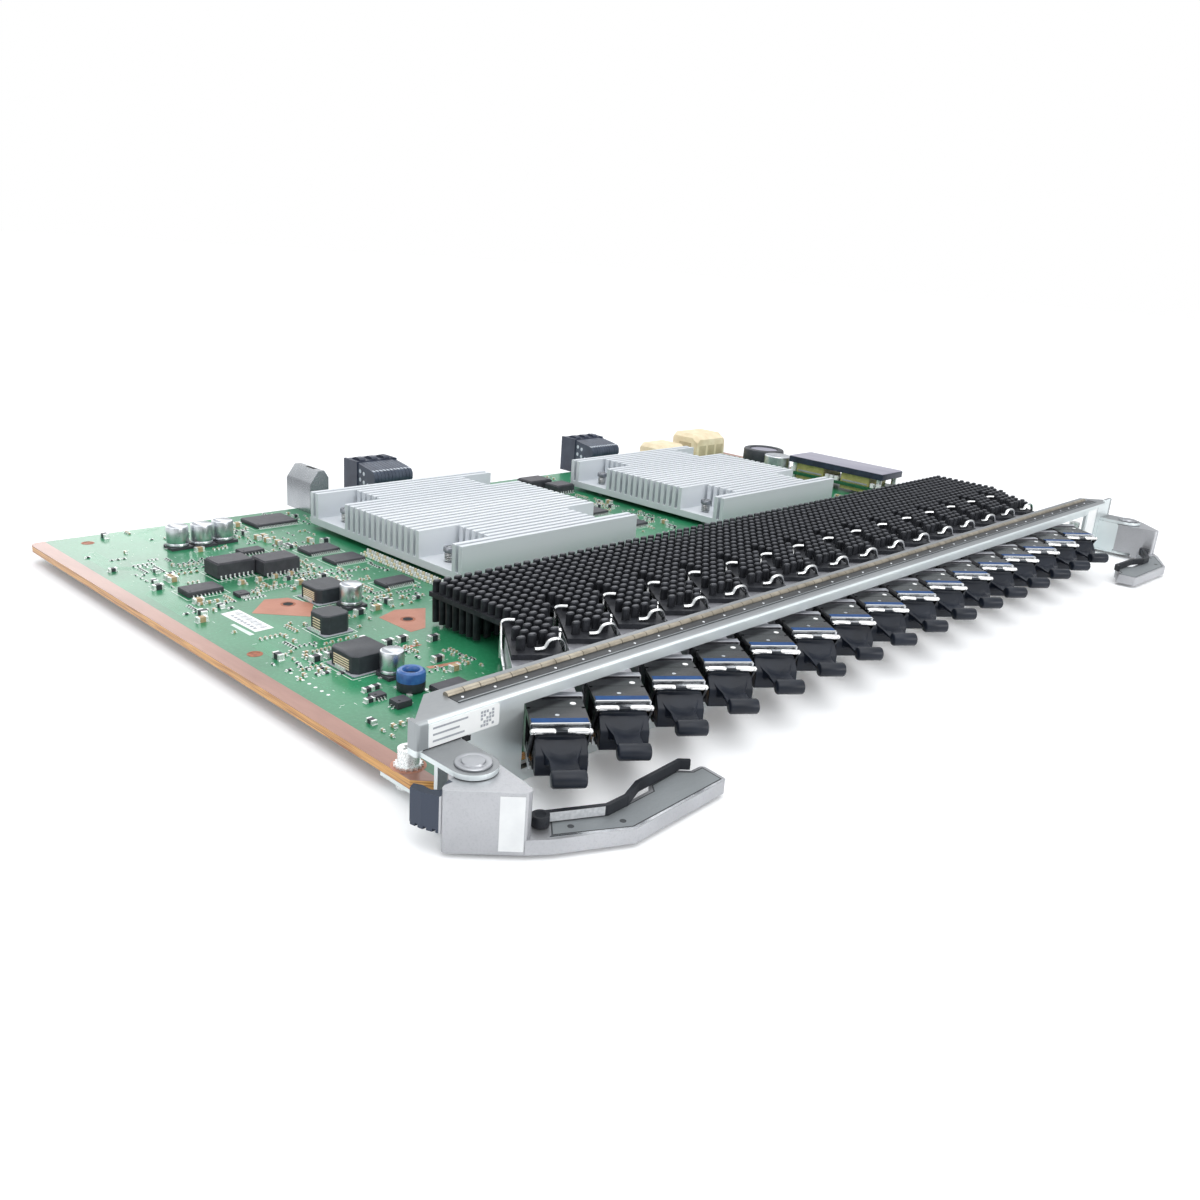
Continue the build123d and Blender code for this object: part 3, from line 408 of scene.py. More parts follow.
def lever_casting():
    """Satin plated casting with a fine speckle, a dark slate jaw beyond the panel's end, partly a darker steel and
    partly painted shade, and a post top painted dark as shade.
    """
    look = Look("plated_casting", metal=0.9, rough=0.4)
    satin = look.ramp(look.noise(16, 3), (0.3, (176, 177, 180)), (0.7, (192, 193, 196)))
    speck = look.noise(0.5, 2, 0.7)
    satin = look.blend(look.ramp(speck, (0.5, 0), (0.75, 0.3)), satin, paint(150, 152, 156))
    # Partly painted shade: the jaw beyond the panel's end is painted dark slate.
    rear = look.maths("GREATER_THAN", look.axis("Y"), (-12.4 - HALF_DEPTH) * MM)
    jaw = look.maths("MULTIPLY", look.off_middle(HALF_LENGTH + 2.4), rear)
    # Painted shade: a dark disc on the post's top.
    post_x = look.maths("SUBTRACT", look.maths("ABSOLUTE", look.axis("X")), (HALF_LENGTH - 12.6) * MM)
    post_y = look.maths("SUBTRACT", look.axis("Y"), (-22.9 - HALF_DEPTH) * MM)
    away = look.maths("ADD", look.maths("MULTIPLY", post_x, post_x), look.maths("MULTIPLY", post_y, post_y))
    post = look.maths("LESS_THAN", away, (1.5 * MM) ** 2)
    look.colour(look.blend(post, look.blend(jaw, satin, paint(74, 80, 92)), paint(40, 43, 48)))
    look.rough(speck, 0.3, 0.48)
    look.bump(speck, 0.008)
    return look.material


def moulded(name, light, dark, rough, size=4, grain=0.25, bump=0.02, coat=0, specular=0.5):
    """A moulded plastic or epoxy with a fine sparkled surface."""
    look = Look(name, rough=rough, coat=coat, specular=specular)
    look.colour(look.ramp(look.noise(size), (0.3, dark), (0.7, light)))
    fine = look.noise(grain, 3, 0.7)
    look.rough(fine, rough * 0.8, min(1, rough * 1.2))
    look.bump(fine, bump)
    return look.material


def solder_mask():
    """Green mask over the laminate, with the bare copper strip along both card edges."""
    look = Look("solder_mask", rough=0.34, coat=0.25, coat_rough=0.14)
    base = look.ramp(look.noise(38, 2), (0.3, (20, 102, 64)), (0.72, (44, 138, 94)))
    weave = look.ramp(look.noise(1.1, 3, 0.6), (0.45, 0), (0.8, 0.35))
    base = look.blend(weave, base, paint(78, 162, 120))
    copper = look.ramp(look.noise(9, 4, 0.6, (1, 5, 1)), (0.3, (140, 92, 76)), (0.75, (174, 126, 108)))
    top = look.blend(look.off_middle(HALF_LENGTH - BOARD_LEFT - 5.2), base, copper)
    layers = look.noise(0.35, 1, 0.4, (60, 60, 1))
    core = look.ramp(layers, (0.35, (150, 92, 40)), (0.5, (222, 168, 92)), (0.7, (178, 122, 62)))
    height = look.axis("Z")
    inside = look.maths("MULTIPLY", look.maths("LESS_THAN", height, (BOARD_TOP - 0.12) * MM),
                        look.maths("GREATER_THAN", height, (BOARD_BOTTOM + 0.12) * MM))
    look.colour(look.blend(inside, top, core))
    look.bump(look.noise(0.9, 4, 0.6), 0.02)
    return look.material


SHEET = plated_panel()
# A greyer tone of the plated sheet, for the finger strip's front lip and a line beside the right label field.
SHEET_BACK = metal("plated_sheet_greyer", (168, 173, 175), (146, 151, 154), 0.42, 9, (3, 1, 1))
ARM_FLAT = metal("arm_inlay", (142, 147, 149), (132, 137, 140), 0.55, 9, (3, 1, 1), metallic=0.6)
# Grey of the finger band, darkened in part as painted shade of its recess and slots.
FINGER_BAND_AND_SHADE = metal("gasket_band_and_shade", (86, 88, 90), (62, 64, 66), 0.45, 6, (5, 1, 1))
RIVET = metal("rivet_head", (178, 180, 183), (164, 166, 170), 0.36, 6)
GUIDE = metal("guide_casting", (178, 181, 184), (164, 168, 171), 0.26, 12)
CASTING = lever_casting()
FINGERS = metal("spring_finger_metal", (190, 181, 164), (150, 142, 127), 0.36, 5, (1, 1, 1), 0.3, 0.006)
TRIGGER_STEEL = moulded("trigger_black", (40, 43, 48), (27, 29, 34), 0.5, 6, specular=0.3)
SPRING_STRIP = metal("spring_strip", (212, 214, 216), (186, 189, 192), 0.4, 0.8, metallic=0.3)
DARK_STEEL = metal("dark_spring_steel", (70, 73, 78), (40, 43, 48), 0.38, 6)
CAGE = metal("tinned_cage", (190, 191, 196), (160, 161, 168), 0.36, 5, (1, 3, 1), 0.3, 0.01, 0.7)
HOUSING = metal("dark_nickel_housing", (50, 51, 54), (20, 21, 24), 0.24, 9, (1, 1, 1), 0.3, 0.004, 0.6)
NICKEL = metal("bright_nickel", (218, 220, 223), (180, 184, 188), 0.24, 3, (1, 1, 1), 0.3, 0.004)
BAIL = metal("polished_bail", (246, 246, 244), (226, 226, 226), 0.17, 2)
SINK = metal("clear_anodised_fin", (219, 223, 227), (210, 215, 220), 0.5, 30, (40, 1, 1), 0.5, 0.006, 0.25)
SCREW_STEEL = metal("sink_screw_steel", (156, 160, 166), (118, 122, 128), 0.34, 3)
BLACK_FIN = metal("black_anodised", (52, 54, 60), (26, 28, 33), 0.5, 3, metallic=0.35)
# Painted highlight for the pin tops.
PIN_HIGHLIGHT = metal("pin_painted_highlight", (92, 94, 100), (56, 58, 64), 0.42, 2, metallic=0.4)
WIRE = metal("plated_wire", (236, 237, 236), (206, 208, 208), 0.24, 2)
PLUG = moulded("soft_black_plastic", (27, 33, 44), (17, 22, 31), 0.36, 7, 0.5, 0.006, specular=0.3)
EPOXY = moulded("black_epoxy", (66, 66, 72), (50, 50, 56), 0.5, 3, 0.18, 0.02)
EPOXY_SIDE = moulded("black_epoxy_side", (52, 56, 62), (40, 43, 49), 0.45, 3, 0.18, 0.02)
SLATE = moulded("slate_connector", (70, 80, 96), (50, 58, 74), 0.45, 5, 0.3, 0.01)
SLATE_DARK = moulded("dark_connector", (62, 70, 86), (46, 52, 68), 0.42, 5, 0.3, 0.01)
IVORY = moulded("ivory_connector", (244, 230, 198), (226, 208, 172), 0.5, 5, 0.3, 0.008)
TIN = metal("tinned_joint", (250, 251, 250), (224, 228, 226), 0.28, 0.8, (1, 1, 1), 0.25, 0.01, 0.55)
GOLD = metal("gold_flash", (236, 196, 120), (206, 160, 84), 0.28, 1.5)
COPPER = metal("bare_copper", (192, 136, 114), (172, 116, 96), 0.5, 9, metallic=0.3)
CAN_TOP = metal("can_aluminium", (226, 229, 232), (200, 204, 208), 0.3, 2)
LABEL = moulded("white_label", (244, 245, 244), (236, 238, 238), 0.6, 5, 0.4, 0.004)
LABEL_INK = moulded("label_grey", (170, 174, 180), (150, 154, 160), 0.7, 5, 0.4, 0)
BLUE = moulded("blue_band", (12, 68, 124), (6, 56, 108), 0.5, 3, 0.3, 0.004, specular=0.2)
BLUE_COIL = moulded("blue_cap", (62, 112, 176), (36, 82, 146), 0.35, 2, 0.3, 0.01, 0.3)
TAN = moulded("ceramic_tan", (196, 172, 134), (160, 136, 100), 0.5, 0.8)
SILK = moulded("white_ink", (226, 238, 230), (206, 222, 212), 0.6, 2, 0.4, 0)
TRACK = moulded("raised_track_mask", (72, 164, 120), (50, 144, 98), 0.32, 3, 0.5, 0.004, 0.2)
# Dark mask of the converter's own board, also used as painted shadow behind the posts.
DARK_MASK_AND_SHADOW = moulded("dark_mask_and_painted_shadow", (28, 102, 64), (20, 84, 52), 0.32, 6, 0.6, 0.006, 0.3)
HOLE = moulded("hole_wall", (176, 96, 52), (120, 60, 34), 0.5, 1)
CORE_YELLOW = moulded("yellow_green_tape", (196, 190, 120), (164, 160, 96), 0.45, 3)
NAVY_EDGE = moulded("dark_plate_edge", (44, 54, 74), (28, 34, 48), 0.4, 4)
LILAC_PLATE = metal("anodised_plate", (206, 203, 216), (180, 178, 194), 0.36, 10, (1, 6, 1))
# Painted shade for the line round the arm's flat and for its two holes.
ARM_SHADE = moulded("arm_painted_shade", (60, 63, 66), (46, 49, 52), 0.6, 2)
STICKER = moulded("pale_lever_sticker", (226, 228, 228), (216, 218, 219), 0.5, 4)
WINDOW = moulded("contact_window", (214, 220, 228), (180, 188, 200), 0.4, 2)
IVORY_SHADE = moulded("ivory_recess", (206, 190, 156), (190, 172, 138), 0.6, 3)
SHADOW_SLOT = moulded("slot_shadow", (30, 32, 34), (20, 22, 24), 0.8, 2)
MASK = solder_mask()


def repaint(node, look, bevel=0, segments=2):
    """A CAD node keeps its shape and gets a finish, with softened edges where asked."""
    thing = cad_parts[node]
    thing.data.materials.clear()
    thing.data.materials.append(look)
    if bevel:
        thing.modifiers.new("weld", "WELD").merge_threshold = 0.000002
        soften(thing, bevel, segments)


# Panel.


def panel_pieces():
    repaint("front_panel", SHEET, 0.2)
    repaint("panel_screws", TIN, 0.15)
    strip = Piece()
    left, right = 11.4, PANEL_LENGTH - 9.6
    # The finger band's dark grey sheet, partly painted shade of the recess and slots.
    strip.box(left, right, 3.2, 7, PANEL_TOP, PANEL_TOP + 0.1, 1)
    strip.box(left, right, 3.2, 3.5, PANEL_TOP, PANEL_TOP + 0.3, 3)
    pitch, gap = 4.75, 0.09
    count = int((right - left) / pitch)
    bead = [(y, PANEL_TOP + rise) for y, rise in ((7, 0.1), (7.15, 0.55), (7.5, 0.85), (7.95, 0.98), (8.4, 0.85),
                                                  (8.75, 0.55), (8.9, 0.1), (8.9, 0), (7, 0))]
    for index in range(count):
        x = left + index * pitch
        strip.side_prism(bead, x + gap, x + pitch - gap)
        if index % 2 == 0:
            strip.ball((x + 2.6, 5.1, PANEL_TOP + 0.1), 0.42, 2, squash=0.5)
    strip.build("spring_finger_strip", [FINGERS, FINGER_BAND_AND_SHADE, NICKEL, SHEET_BACK], "card", ["emi_gasket"])

    label = Piece()
    label.front_prism(rounded(0.9, 20.4, 16.9, 22.2, 0.5), -0.14, -0.01, 0)
    for row, (start, length) in enumerate(((1.9, 9.5), (1.9, 7.2), (1.9, 8.6))):
        label.box(start, start + length, -0.16, -0.13, 20.9 - row * 1.5, 21.35 - row * 1.5, 1)
    for a in range(5):
        for b in range(5):
            if (a * 3 + b * 5) % 4 != 1:
                label.box(15 + a * 0.8, 15.62 + a * 0.8, -0.16, -0.13, 17.6 + b * 0.8, 18.22 + b * 0.8, 1)
    label.box(-0.6, 11.7, -0.03, 0.2, 16.62, 16.8, 2)
    label.box(9.9, 12.4, -0.03, 0.2, 15.3, 16.62, 2)
    label.build("panel_label", [LABEL, LABEL_INK, SHADOW_SLOT], "card")

    inset = Piece()
    inset.front_prism(rounded(377.2, 387.6, 8.6, 21.6, 0.8), -0.12, -0.01, 0)
    inset.box(388.9, 389.2, -0.02, 0.1, 1.6, 22, 1)
    inset.build("right_label_field", [LABEL, SHEET_BACK], "card")

    rings = Piece()
    for flip in (Matrix(), mirrored()):
        rings.at(flip @ spot(5, 12.4))
        rings.turned([(3.05, 6.5), (4.1, 6.5), (4.1, 6.54), (3.05, 6.54), (3.05, 6.5)], 0, 28)
        for k in range(16):
            a = 2 * pi * k / 16
            tooth = arc(0, 0, 3, degrees(a) - 7, degrees(a) + 7, 2)
            rings.prism(tooth + [(3.45 * cos(a), 3.45 * sin(a))][::-1], 6.56, 7.15, 1)
    rings.build("panel_screw_washers", [COPPER, TIN], "card")


def lug_webs():
    """The upright web that joins the two lugs of each lever on the inner side."""
    for side, flip in (("left", Matrix()), ("right", mirrored())):
        web = Piece(flip)
        outline = [(-0.02, 2.5), (-0.02, 15.4), (-8.2, 15.4), (-9, 14.6), (-9, 3.3), (-8.2, 2.5)]
        web.side_prism(outline, 9.75, 10.35)
        web.build(f"{side}_lug_web", [SHEET], "card")


def rivet_piece():
    rivets = Piece()
    for flip in (Matrix(), mirrored()):
        rivets.at(flip @ spot(*PIVOT))
        rivets.turned([(0.01, 0.7), (3.3, 0.7), (3.6, 0.9), (3.6, 1.3), (2.2, 1.3), (2.2, 16.6), (3.9, 16.6),
                       (4.05, 16.75), (4.05, 17), (3.9, 17.15), (3.1, 17.18), (2.85, 17.05), (2.65, 17.08),
                       (2.45, 17.4), (1.3, 17.56), (0.01, 17.6)], 0, 40)
    rivets.build("lever_rivets", [RIVET], "card", ["pivot_rivets"])


# Levers.


HEAD_CORNER, HEAD_OTHER = (6.1, -25.5, 0), (-6.7, -13.6, 0)


def slip(start, end, away, thick):
    """Plan of a flat strip from start to end, that far out from the line between them."""
    along = (end - start).normalized()
    out = Vector((along.y, -along.x, 0))
    a, b = start + out * away, end + out * away
    return [(p.x, p.y) for p in (a, b, b + out * thick, a + out * thick)]


def lever_pieces():
    """Casting and trigger of each lever, the flat in its arm with painted shade round it and in its two holes and a
    painted highlight along its outer edge, the blank sticker and the bright spring strip.
    """
    for side, flip in (("left", Matrix()), ("right", mirrored())):
        repaint(f"{side}_ejector_lever", CASTING, 0.45, 3)
        repaint(f"{side}_release_trigger", TRIGGER_STEEL, 0.2)
        body = f"lever_{side}"
        inlay = Piece(flip)
        top = 4.5
        outline = [(12.2, -27.3), (27.6, -35.6), (59.3, -34.3), (60.1, -28.4), (56.8, -28.5), (53.7, -25.8),
                   (44.4, -26.6), (42.6, -28.7), (26.7, -29.4), (15.6, -23.4)]
        # Painted shade: a dark line round the flat.
        inlay.prism(grown(outline, 0.35), top, top + 0.03, 1)
        # Painted highlight: a bright strip along the arm's outer top edge.
        inlay.prism(grown(outline, 1)[0:3] + grown(outline, 0.35)[0:3][::-1], top, top + 0.035, 2)
        inlay.prism(outline, top, top + 0.05)
        # Painted shade in the arm's two holes.
        for x, y in ((17.2, -27.4), (27.4, -32.9)):
            inlay.prism(arc(x, y, 0.75, 0, 330, 11), top + 0.04, top + 0.09, 1)
        inlay.build(f"{side}_arm_recess", [ARM_FLAT, ARM_SHADE, NICKEL], body)
        sticker = Piece(flip)
        corner, along = Vector(HEAD_CORNER), (Vector(HEAD_CORNER) - Vector(HEAD_OTHER)).normalized()
        sticker.prism(slip(corner - along * 5.4, corner - along * 0.3, 0.01, 0.12), 1.9, 14.4)
        sticker.build(f"{side}_lever_sticker", [STICKER], body)
        strip = Piece(flip)
        strip.prism(slip(Vector((14.6, -22.9, 0)), Vector((26, -28.6, 0)), 0.5, 0.14), 4.85, 6.95)
        strip.build(f"{side}_trigger_spring", [SPRING_STRIP], f"trigger_{side}")


# Optical ports.


def housing_piece():
    """The sixteen transceiver housings: dark nickel noses with a blue band and bright front edges."""
    shell = Piece()
    for index in range(PORT_COUNT):
        shell.at(port_place(index))
        half = NOSE_HALF
        shell.box(-6.7, 6.7, 1, 46, 6.95, 15.35)
        wall = 0.85
        low, high = NOSE_LOW, NOSE_HIGH
        ledge = high - 1.5
        shell.boxes(0, (-half + wall, half - wall, -4, 1, low, high), (-half, -half + wall, -5, 1, low, high),
                    (half - wall, half, -5, 1, low, high), (-half + wall, -4.7, NOSE_FRONT, -4, low, ledge),
                    (4.7, half - wall, NOSE_FRONT, -4, low, ledge), (-4.7, 4.7, NOSE_FRONT, -4, low, 8.2),
                    (-4.7, 4.7, NOSE_FRONT, -4, 15.6, ledge), (-half, half, NOSE_FRONT + 0.4, -4, ledge, high))
        shell.prism([(-half + 0.1, -4.2), (half - 0.1, -4.2), (half - 0.1, 0.8), (-half + 0.1, 0.8)], high - 0.01,
                    high + 0.04)
        shell.box(-half, half, NOSE_FRONT, NOSE_FRONT + 0.5, ledge, high - 0.1, 2)
        shell.box(-6.5, 6.5, NOSE_FRONT + 0.55, NOSE_FRONT + 2.8, high, high + 0.16, 1)
        shell.box(-half + 0.2, half - 0.2, NOSE_FRONT + 0.1, NOSE_FRONT + 0.5, high, high + 0.1, 3)
        shell.prism(arc(4.3, -2.4, 0.75, 0, 330, 11), high + 0.03, high + 0.14, 3)
        shell.prism(arc(-0.2, -8.6, 0.55, 0, 330, 11), high - 0.01, high + 0.05, 2)
        for x in (-half - 0.01, half - wall * 0.3):
            shell.box(x, x + 0.27, NOSE_FRONT, -4.2, low, 9, 2)
        for x0 in (-4.55, 0.35):
            shell.box(x0, x0 + 4.2, NOSE_FRONT + 9, NOSE_FRONT + 9.1, 9, 15, 2)
    shell.build("transceiver_housings", [HOUSING, BLUE, NICKEL, LABEL], "card", ["transceivers"],
                0.12, 1)


def bail_piece(index):
    """A wire bail: two thick grips with a notch between, round ends and an arm down each side."""
    bail = Piece(port_place(index))
    mid_y, mid_z = -15.25, 17.35
    thick = 0.74
    for side in (-1, 1):
        rings = []
        for x, size in ((1.25, 0.55), (1.45, 0.86), (1.75, 1), (5.9, 1), (6.15, 0.9), (6.3, 0.6)):
            rings.append([(side * x, mid_y + thick * 0.95 * size * cos(a * pi / 6),
                           mid_z + thick * size * sin(a * pi / 6)) for a in range(12)])
        bail.loft(rings)
        bail.ball((side * 6.5, mid_y, mid_z - 0.05), 0.72)
        arm = [(mid_y - 0.6, mid_z - 0.4), (mid_y + 0.6, mid_z + 0.3), (-9.6, 11.2), (-6.9, 10.9), (-6.2, 9.5),
               (-6.9, 8.1), (-8, 7.7), (-9.3, 8.2), (-9.9, 9.3)]
        bail.side_prism(arm, *outward(0, side, 6.2, 6.8), 1)
    bail.box(-1.5, 1.5, mid_y - 0.35, mid_y + 0.45, mid_z - 0.62, mid_z + 0.1, 1)
    name = f"{index + 1:02d}"
    bail.build(f"bail_{name}_wire", [BAIL, DARK_STEEL], f"bail_{name}", [f"bail_latch_{name}"], 0.08, 1)


def plug_piece(index):
    """A soft dust plug: square flange on a block, scooped tongue and a rolled lip."""
    plug = Piece(port_place(index))
    seat = NOSE_FRONT - 0.15
    plug.front_prism(rounded(-5.9, 5.9, 7.3, 16, 1.1), seat - 1.4, seat)
    plug.box(-4.5, 4.5, seat, seat + 8, 8.4, 15.4)
    block = [(seat - 1.3, 15.3), (seat - 1.3, 7.4), (seat - 3.7, 7.4), (seat - 4.2, 7.9), (seat - 4.2, 12.2),
             (seat - 3.8, 12.8)]
    plug.side_prism(block, -5.95, 5.95)
    front = seat - 1.2
    end = -28.15
    rings = []
    steps = 14
    for step in range(steps + 1):
        share = step / steps
        y = front + (end - front) * share
        fall = 1 - exp(-5.2 * share)
        half = 5.75 - 2.55 * min(1, share * 2.9) ** 0.8 + 0.7 * max(0, share - 0.75) / 0.25
        top = 15.7 - 3.4 * fall + 1.2 * max(0, share - 0.72) ** 1.2
        low = 8.2 + 2.9 * min(1, share * 2.6) ** 0.8
        dish = 0.55 * sin(min(1, share * 2.2) * pi) + 0.35
        ring = []
        for across in (-1, -0.86, -0.5, 0, 0.5, 0.86, 1):
            crown = abs(across) ** 2 * dish if abs(across) < 0.95 else dish * 0.55
            ring.append((across * half, y, top - dish + crown))
        ring += [(half, y, low + 0.5), (half - 0.5, y, low), (-half + 0.5, y, low), (-half, y, low + 0.5)]
        rings.append(ring)
    plug.loft(rings)
    roll = Matrix.Translation((0, end, 12.4)) @ Matrix.Rotation(radians(90), 4, "Y")
    profile = [(0.01, -3.9), (1.45, -3.9), (1.85, -3.7), (2, -3.3), (2, 3.3), (1.85, 3.7), (1.45, 3.9), (0.01, 3.9)]
    plug.turned(profile, 0, 20, roll)
    name = f"{index + 1:02d}"
    plug.build(f"plug_{name}_body", [PLUG], f"plug_{name}", [f"dust_plug_{name}"], 0.18, 2)


# Port heat sinks.


def port_sink_outline():
    """Plan of a port heat sink from the port's place on the panel, in board directions."""
    half, front, back = 7, 31, 83.5
    left, right = 27.6, 27.4 + PORT_PITCH - 0.2
    turn, lean = sin(PORT_ANGLE), cos(PORT_ANGLE)

    def at(across, along):
        return across * lean + along * turn, along * lean - across * turn

    def height(across, x):
        return at(across, (x - across * lean) / turn)[1]

    return [at(-half, front), at(half, front), (right, height(half, right)), (right, back), (left, back),
            (left, height(-half, left))]


def inside(point, outline, margin):
    """True if a point is inside a convex-enough outline by that margin on every side."""
    x, y = point
    hit = False
    near = 1e9
    count = len(outline)
    for i in range(count):
        (x0, y0), (x1, y1) = outline[i], outline[(i + 1) % count]
        if (y0 > y) != (y1 > y) and x < (x1 - x0) * (y - y0) / (y1 - y0) + x0:
            hit = not hit
        length = (x1 - x0) ** 2 + (y1 - y0) ** 2
        share = max(0, min(1, ((x - x0) * (x1 - x0) + (y - y0) * (y1 - y0)) / length))
        near = min(near, hypot(x - x0 - share * (x1 - x0), y - y0 - share * (y1 - y0)))
    return hit and near >= margin


def clip_paths():
    """The wire clip's runs in a port's own directions: front wave, side run and rear hook."""
    wave = [(-0.6, 33.6, 17.95), (1, 33.9, 17.9), (2.2, 34.2, 18.2), (3.2, 34.7, 19.7), (4.6, 35.2, 20.2),
            (6.2, 35.8, 20), (7.2, 36.4, 18.9), (7.75, 36.8, 17), (7.75, 37.4, 12.2)]
    side = [(7.75, 37.4, 12.2), (7.75, 39.5, 11), (7.75, 42.5, 11.2), (7.75, 45.5, 15), (8, 47.2, 18.2)]
    hook = [(-4.2, 51.2, 19.8), (-6.4, 51.8, 19.6), (-7.6, 52, 19), (-7.75, 51.6, 17.2), (-7.75, 49, 12.4),
            (-7.75, 46.5, 10.4), (-7.75, 41, 9.6)]
    return wave, side, hook


def pin_piece(name, columns, stands_for):
    """Black pin heat sinks: plates with five columns of oval pins above and, behind the cages, below, each pin top
    with a painted highlight.
    """
    plan = port_sink_outline()
    pins = Piece()
    pitch_x, pitch_y, rows, clear_squared = 4.06, 3.22, 19, 4.2
    wires = [p for path in clip_paths() for p in flowing(path, 4)]
    turn = Matrix.Rotation(-PORT_ANGLE, 4, "Z")
    keep_off = [turn @ Vector(p) for p in wires if p[2] > 17.6]
    angles = [2 * pi * (k + 0.5) / 10 for k in range(10)]
    oval = [(1.5 * cos(a), 1.05 * sin(a)) for a in angles]
    for index in columns:
        shift = spot(FIRST_PORT_X + index * PORT_PITCH, 0)
        pins.at(shift)
        pins.prism(plan, CAGE_HIGH, PLATE_HIGH)
        pins.at(shift @ turn)
        pins.box(-4.7, 4.7, 34.3, 45.2, 15.35, CAGE_HIGH)
        for row in range(rows):
            y = 82.3 - row * pitch_y
            for column in range(-5, 5):
                x = 29.6 + pitch_x * column
                if not inside((x, y), plan, 1):
                    continue
                if any((p.x - x) ** 2 + (p.y - y) ** 2 < clear_squared for p in keep_off):
                    continue
                pins.at(shift @ spot(x, y))
                rings = [[(px, py, PLATE_HIGH) for px, py in oval],
                         [(px * 0.95, py * 0.95, PIN_TOP - 0.3) for px, py in oval],
                         [(px * 0.78, py * 0.72, PIN_TOP) for px, py in oval]]
                pins.loft(rings)
                # Painted highlight: a paler cap on each pin's top.
                pins.prism([(px * 0.66, py * 0.58) for px, py in oval], PIN_TOP - 0.02, PIN_TOP + 0.03, 1)
                if y > CAGE_END:
                    low = BOARD_TOP + 1
                    rings = [[(px * 0.85, py * 0.85, low) for px, py in oval],
                             [(px, py, CAGE_HIGH) for px, py in oval]]
                    pins.loft(rings)
    pins.build(name, [BLACK_FIN, PIN_HIGHLIGHT], "card", stands_for)


def clip_piece():
    clips = Piece()
    for index in range(PORT_COUNT):
        clips.at(port_place(index))
        wave, side, hook = clip_paths()
        clips.tube(flowing(wave, 5), 0.5, 0, 8, 1.25)
        clips.tube(flowing(side, 5), 0.42, 0, 8, 1, 0.75)
        clips.tube(flowing(hook, 5), 0.5, 0, 8, 1.2)
        clips.tube(flowing([(-7.75, 41, 9.6), (-7.75, 39, 9), (-7.75, 38, 7.4)], 4), 0.4, 0, 8)
        clips.tube(flowing([(-7.75, 52.4, 18), (-7.75, 53.4, 12.5), (-7.75, 53.6, 7.6)], 4), 0.4, 0, 8)
        clips.ball((-2.2, 43, 17.6), 0.5)
        clips.ball((7.75, 49.6, 18), 0.45)
    clips.build("heat_sink_wire_clips", [WIRE], "card", ["heat_sink_clips"])


# Large heat sinks.


def large_sinks():
    for name in ("heat_sink_left", "heat_sink_right"):
        repaint(name, SINK, 0.2, 2)
    repaint("processors", EPOXY)
    screws = Piece()
    for left in SINK_EDGES:
        for x in (left + 6.8, left + SINK_LENGTH - 6.8):
            for y in (SINK_FRONT + 14.8, SINK_FRONT + SINK_REACH - 14.8):
                screws.at(spot(x, y))
                screws.turned([(0.01, 2.9), (1.4, 2.9), (1.4, 15.1), (2.2, 15.1), (2.4, 15.3), (2.4, 16.5),
                               (2.15, 16.9), (1, 16.9), (0.9, 16.2), (0.01, 16.2)], 0, 20)
                coil = [(1.85 * cos(k * 0.62), 1.85 * sin(k * 0.62), 11.8 + 3 * k / 50) for k in range(51)]
                screws.tube(coil, 0.24, 1, 6)
                screws.box(-1.7, 1.7, -0.3, 0.3, 16.86, 16.9, 1)
    screws.build("shouldered_spring_screws", [SCREW_STEEL, WIRE], "card", ["heat_sink_screws"])


# Rear connectors.


def guide_piece():
    """The guide pin's socket: a tall block with one shoulder cut steeply away."""
    guide = Piece()
    left, right, top = 107, 115.8, 24.3
    back = BOARD_BACK + 7
    front = back - 18.6
    outline = [(left, 6.5), (right, 6.5), (right, top - 3), (right - 2, top), (left + 4, top),
               (left + 0.6, top - 4.6), (left, top - 5.6)]
    guide.front_prism(outline, front, back - 0.3, 0)
    guide.box(left + 4.4, right - 2.6, front + 4.5, front + 11, top - 0.02, top + 0.01, 2)
    bore = Matrix.Translation(((left + right) / 2, back - 0.3, 14.9)) @ Matrix.Rotation(radians(-90), 4, "X")
    guide.at(bore)
    guide.turned([(2.6, -0.05), (3.3, -0.05), (3.3, 0.25), (2.9, 0.3), (2.6, 0.1), (2.6, -0.05)])
    guide.turned([(0.01, 0), (2.6, 0), (2.6, 0.02), (0.01, 0.02)], 2)
    screw = Matrix.Translation((left + 4.4, front, 9.2)) @ Matrix.Rotation(radians(90), 4, "X")
    guide.at(screw)
    guide.turned([(0.01, -0.1), (1.6, -0.1), (1.6, 0.5), (1.2, 0.9), (0.01, 1)], 1, 16)
    guide.build("guide_pin_block", [GUIDE, COPPER, SHADOW_SLOT], "card", ["guide_block"], 0.35, 2)


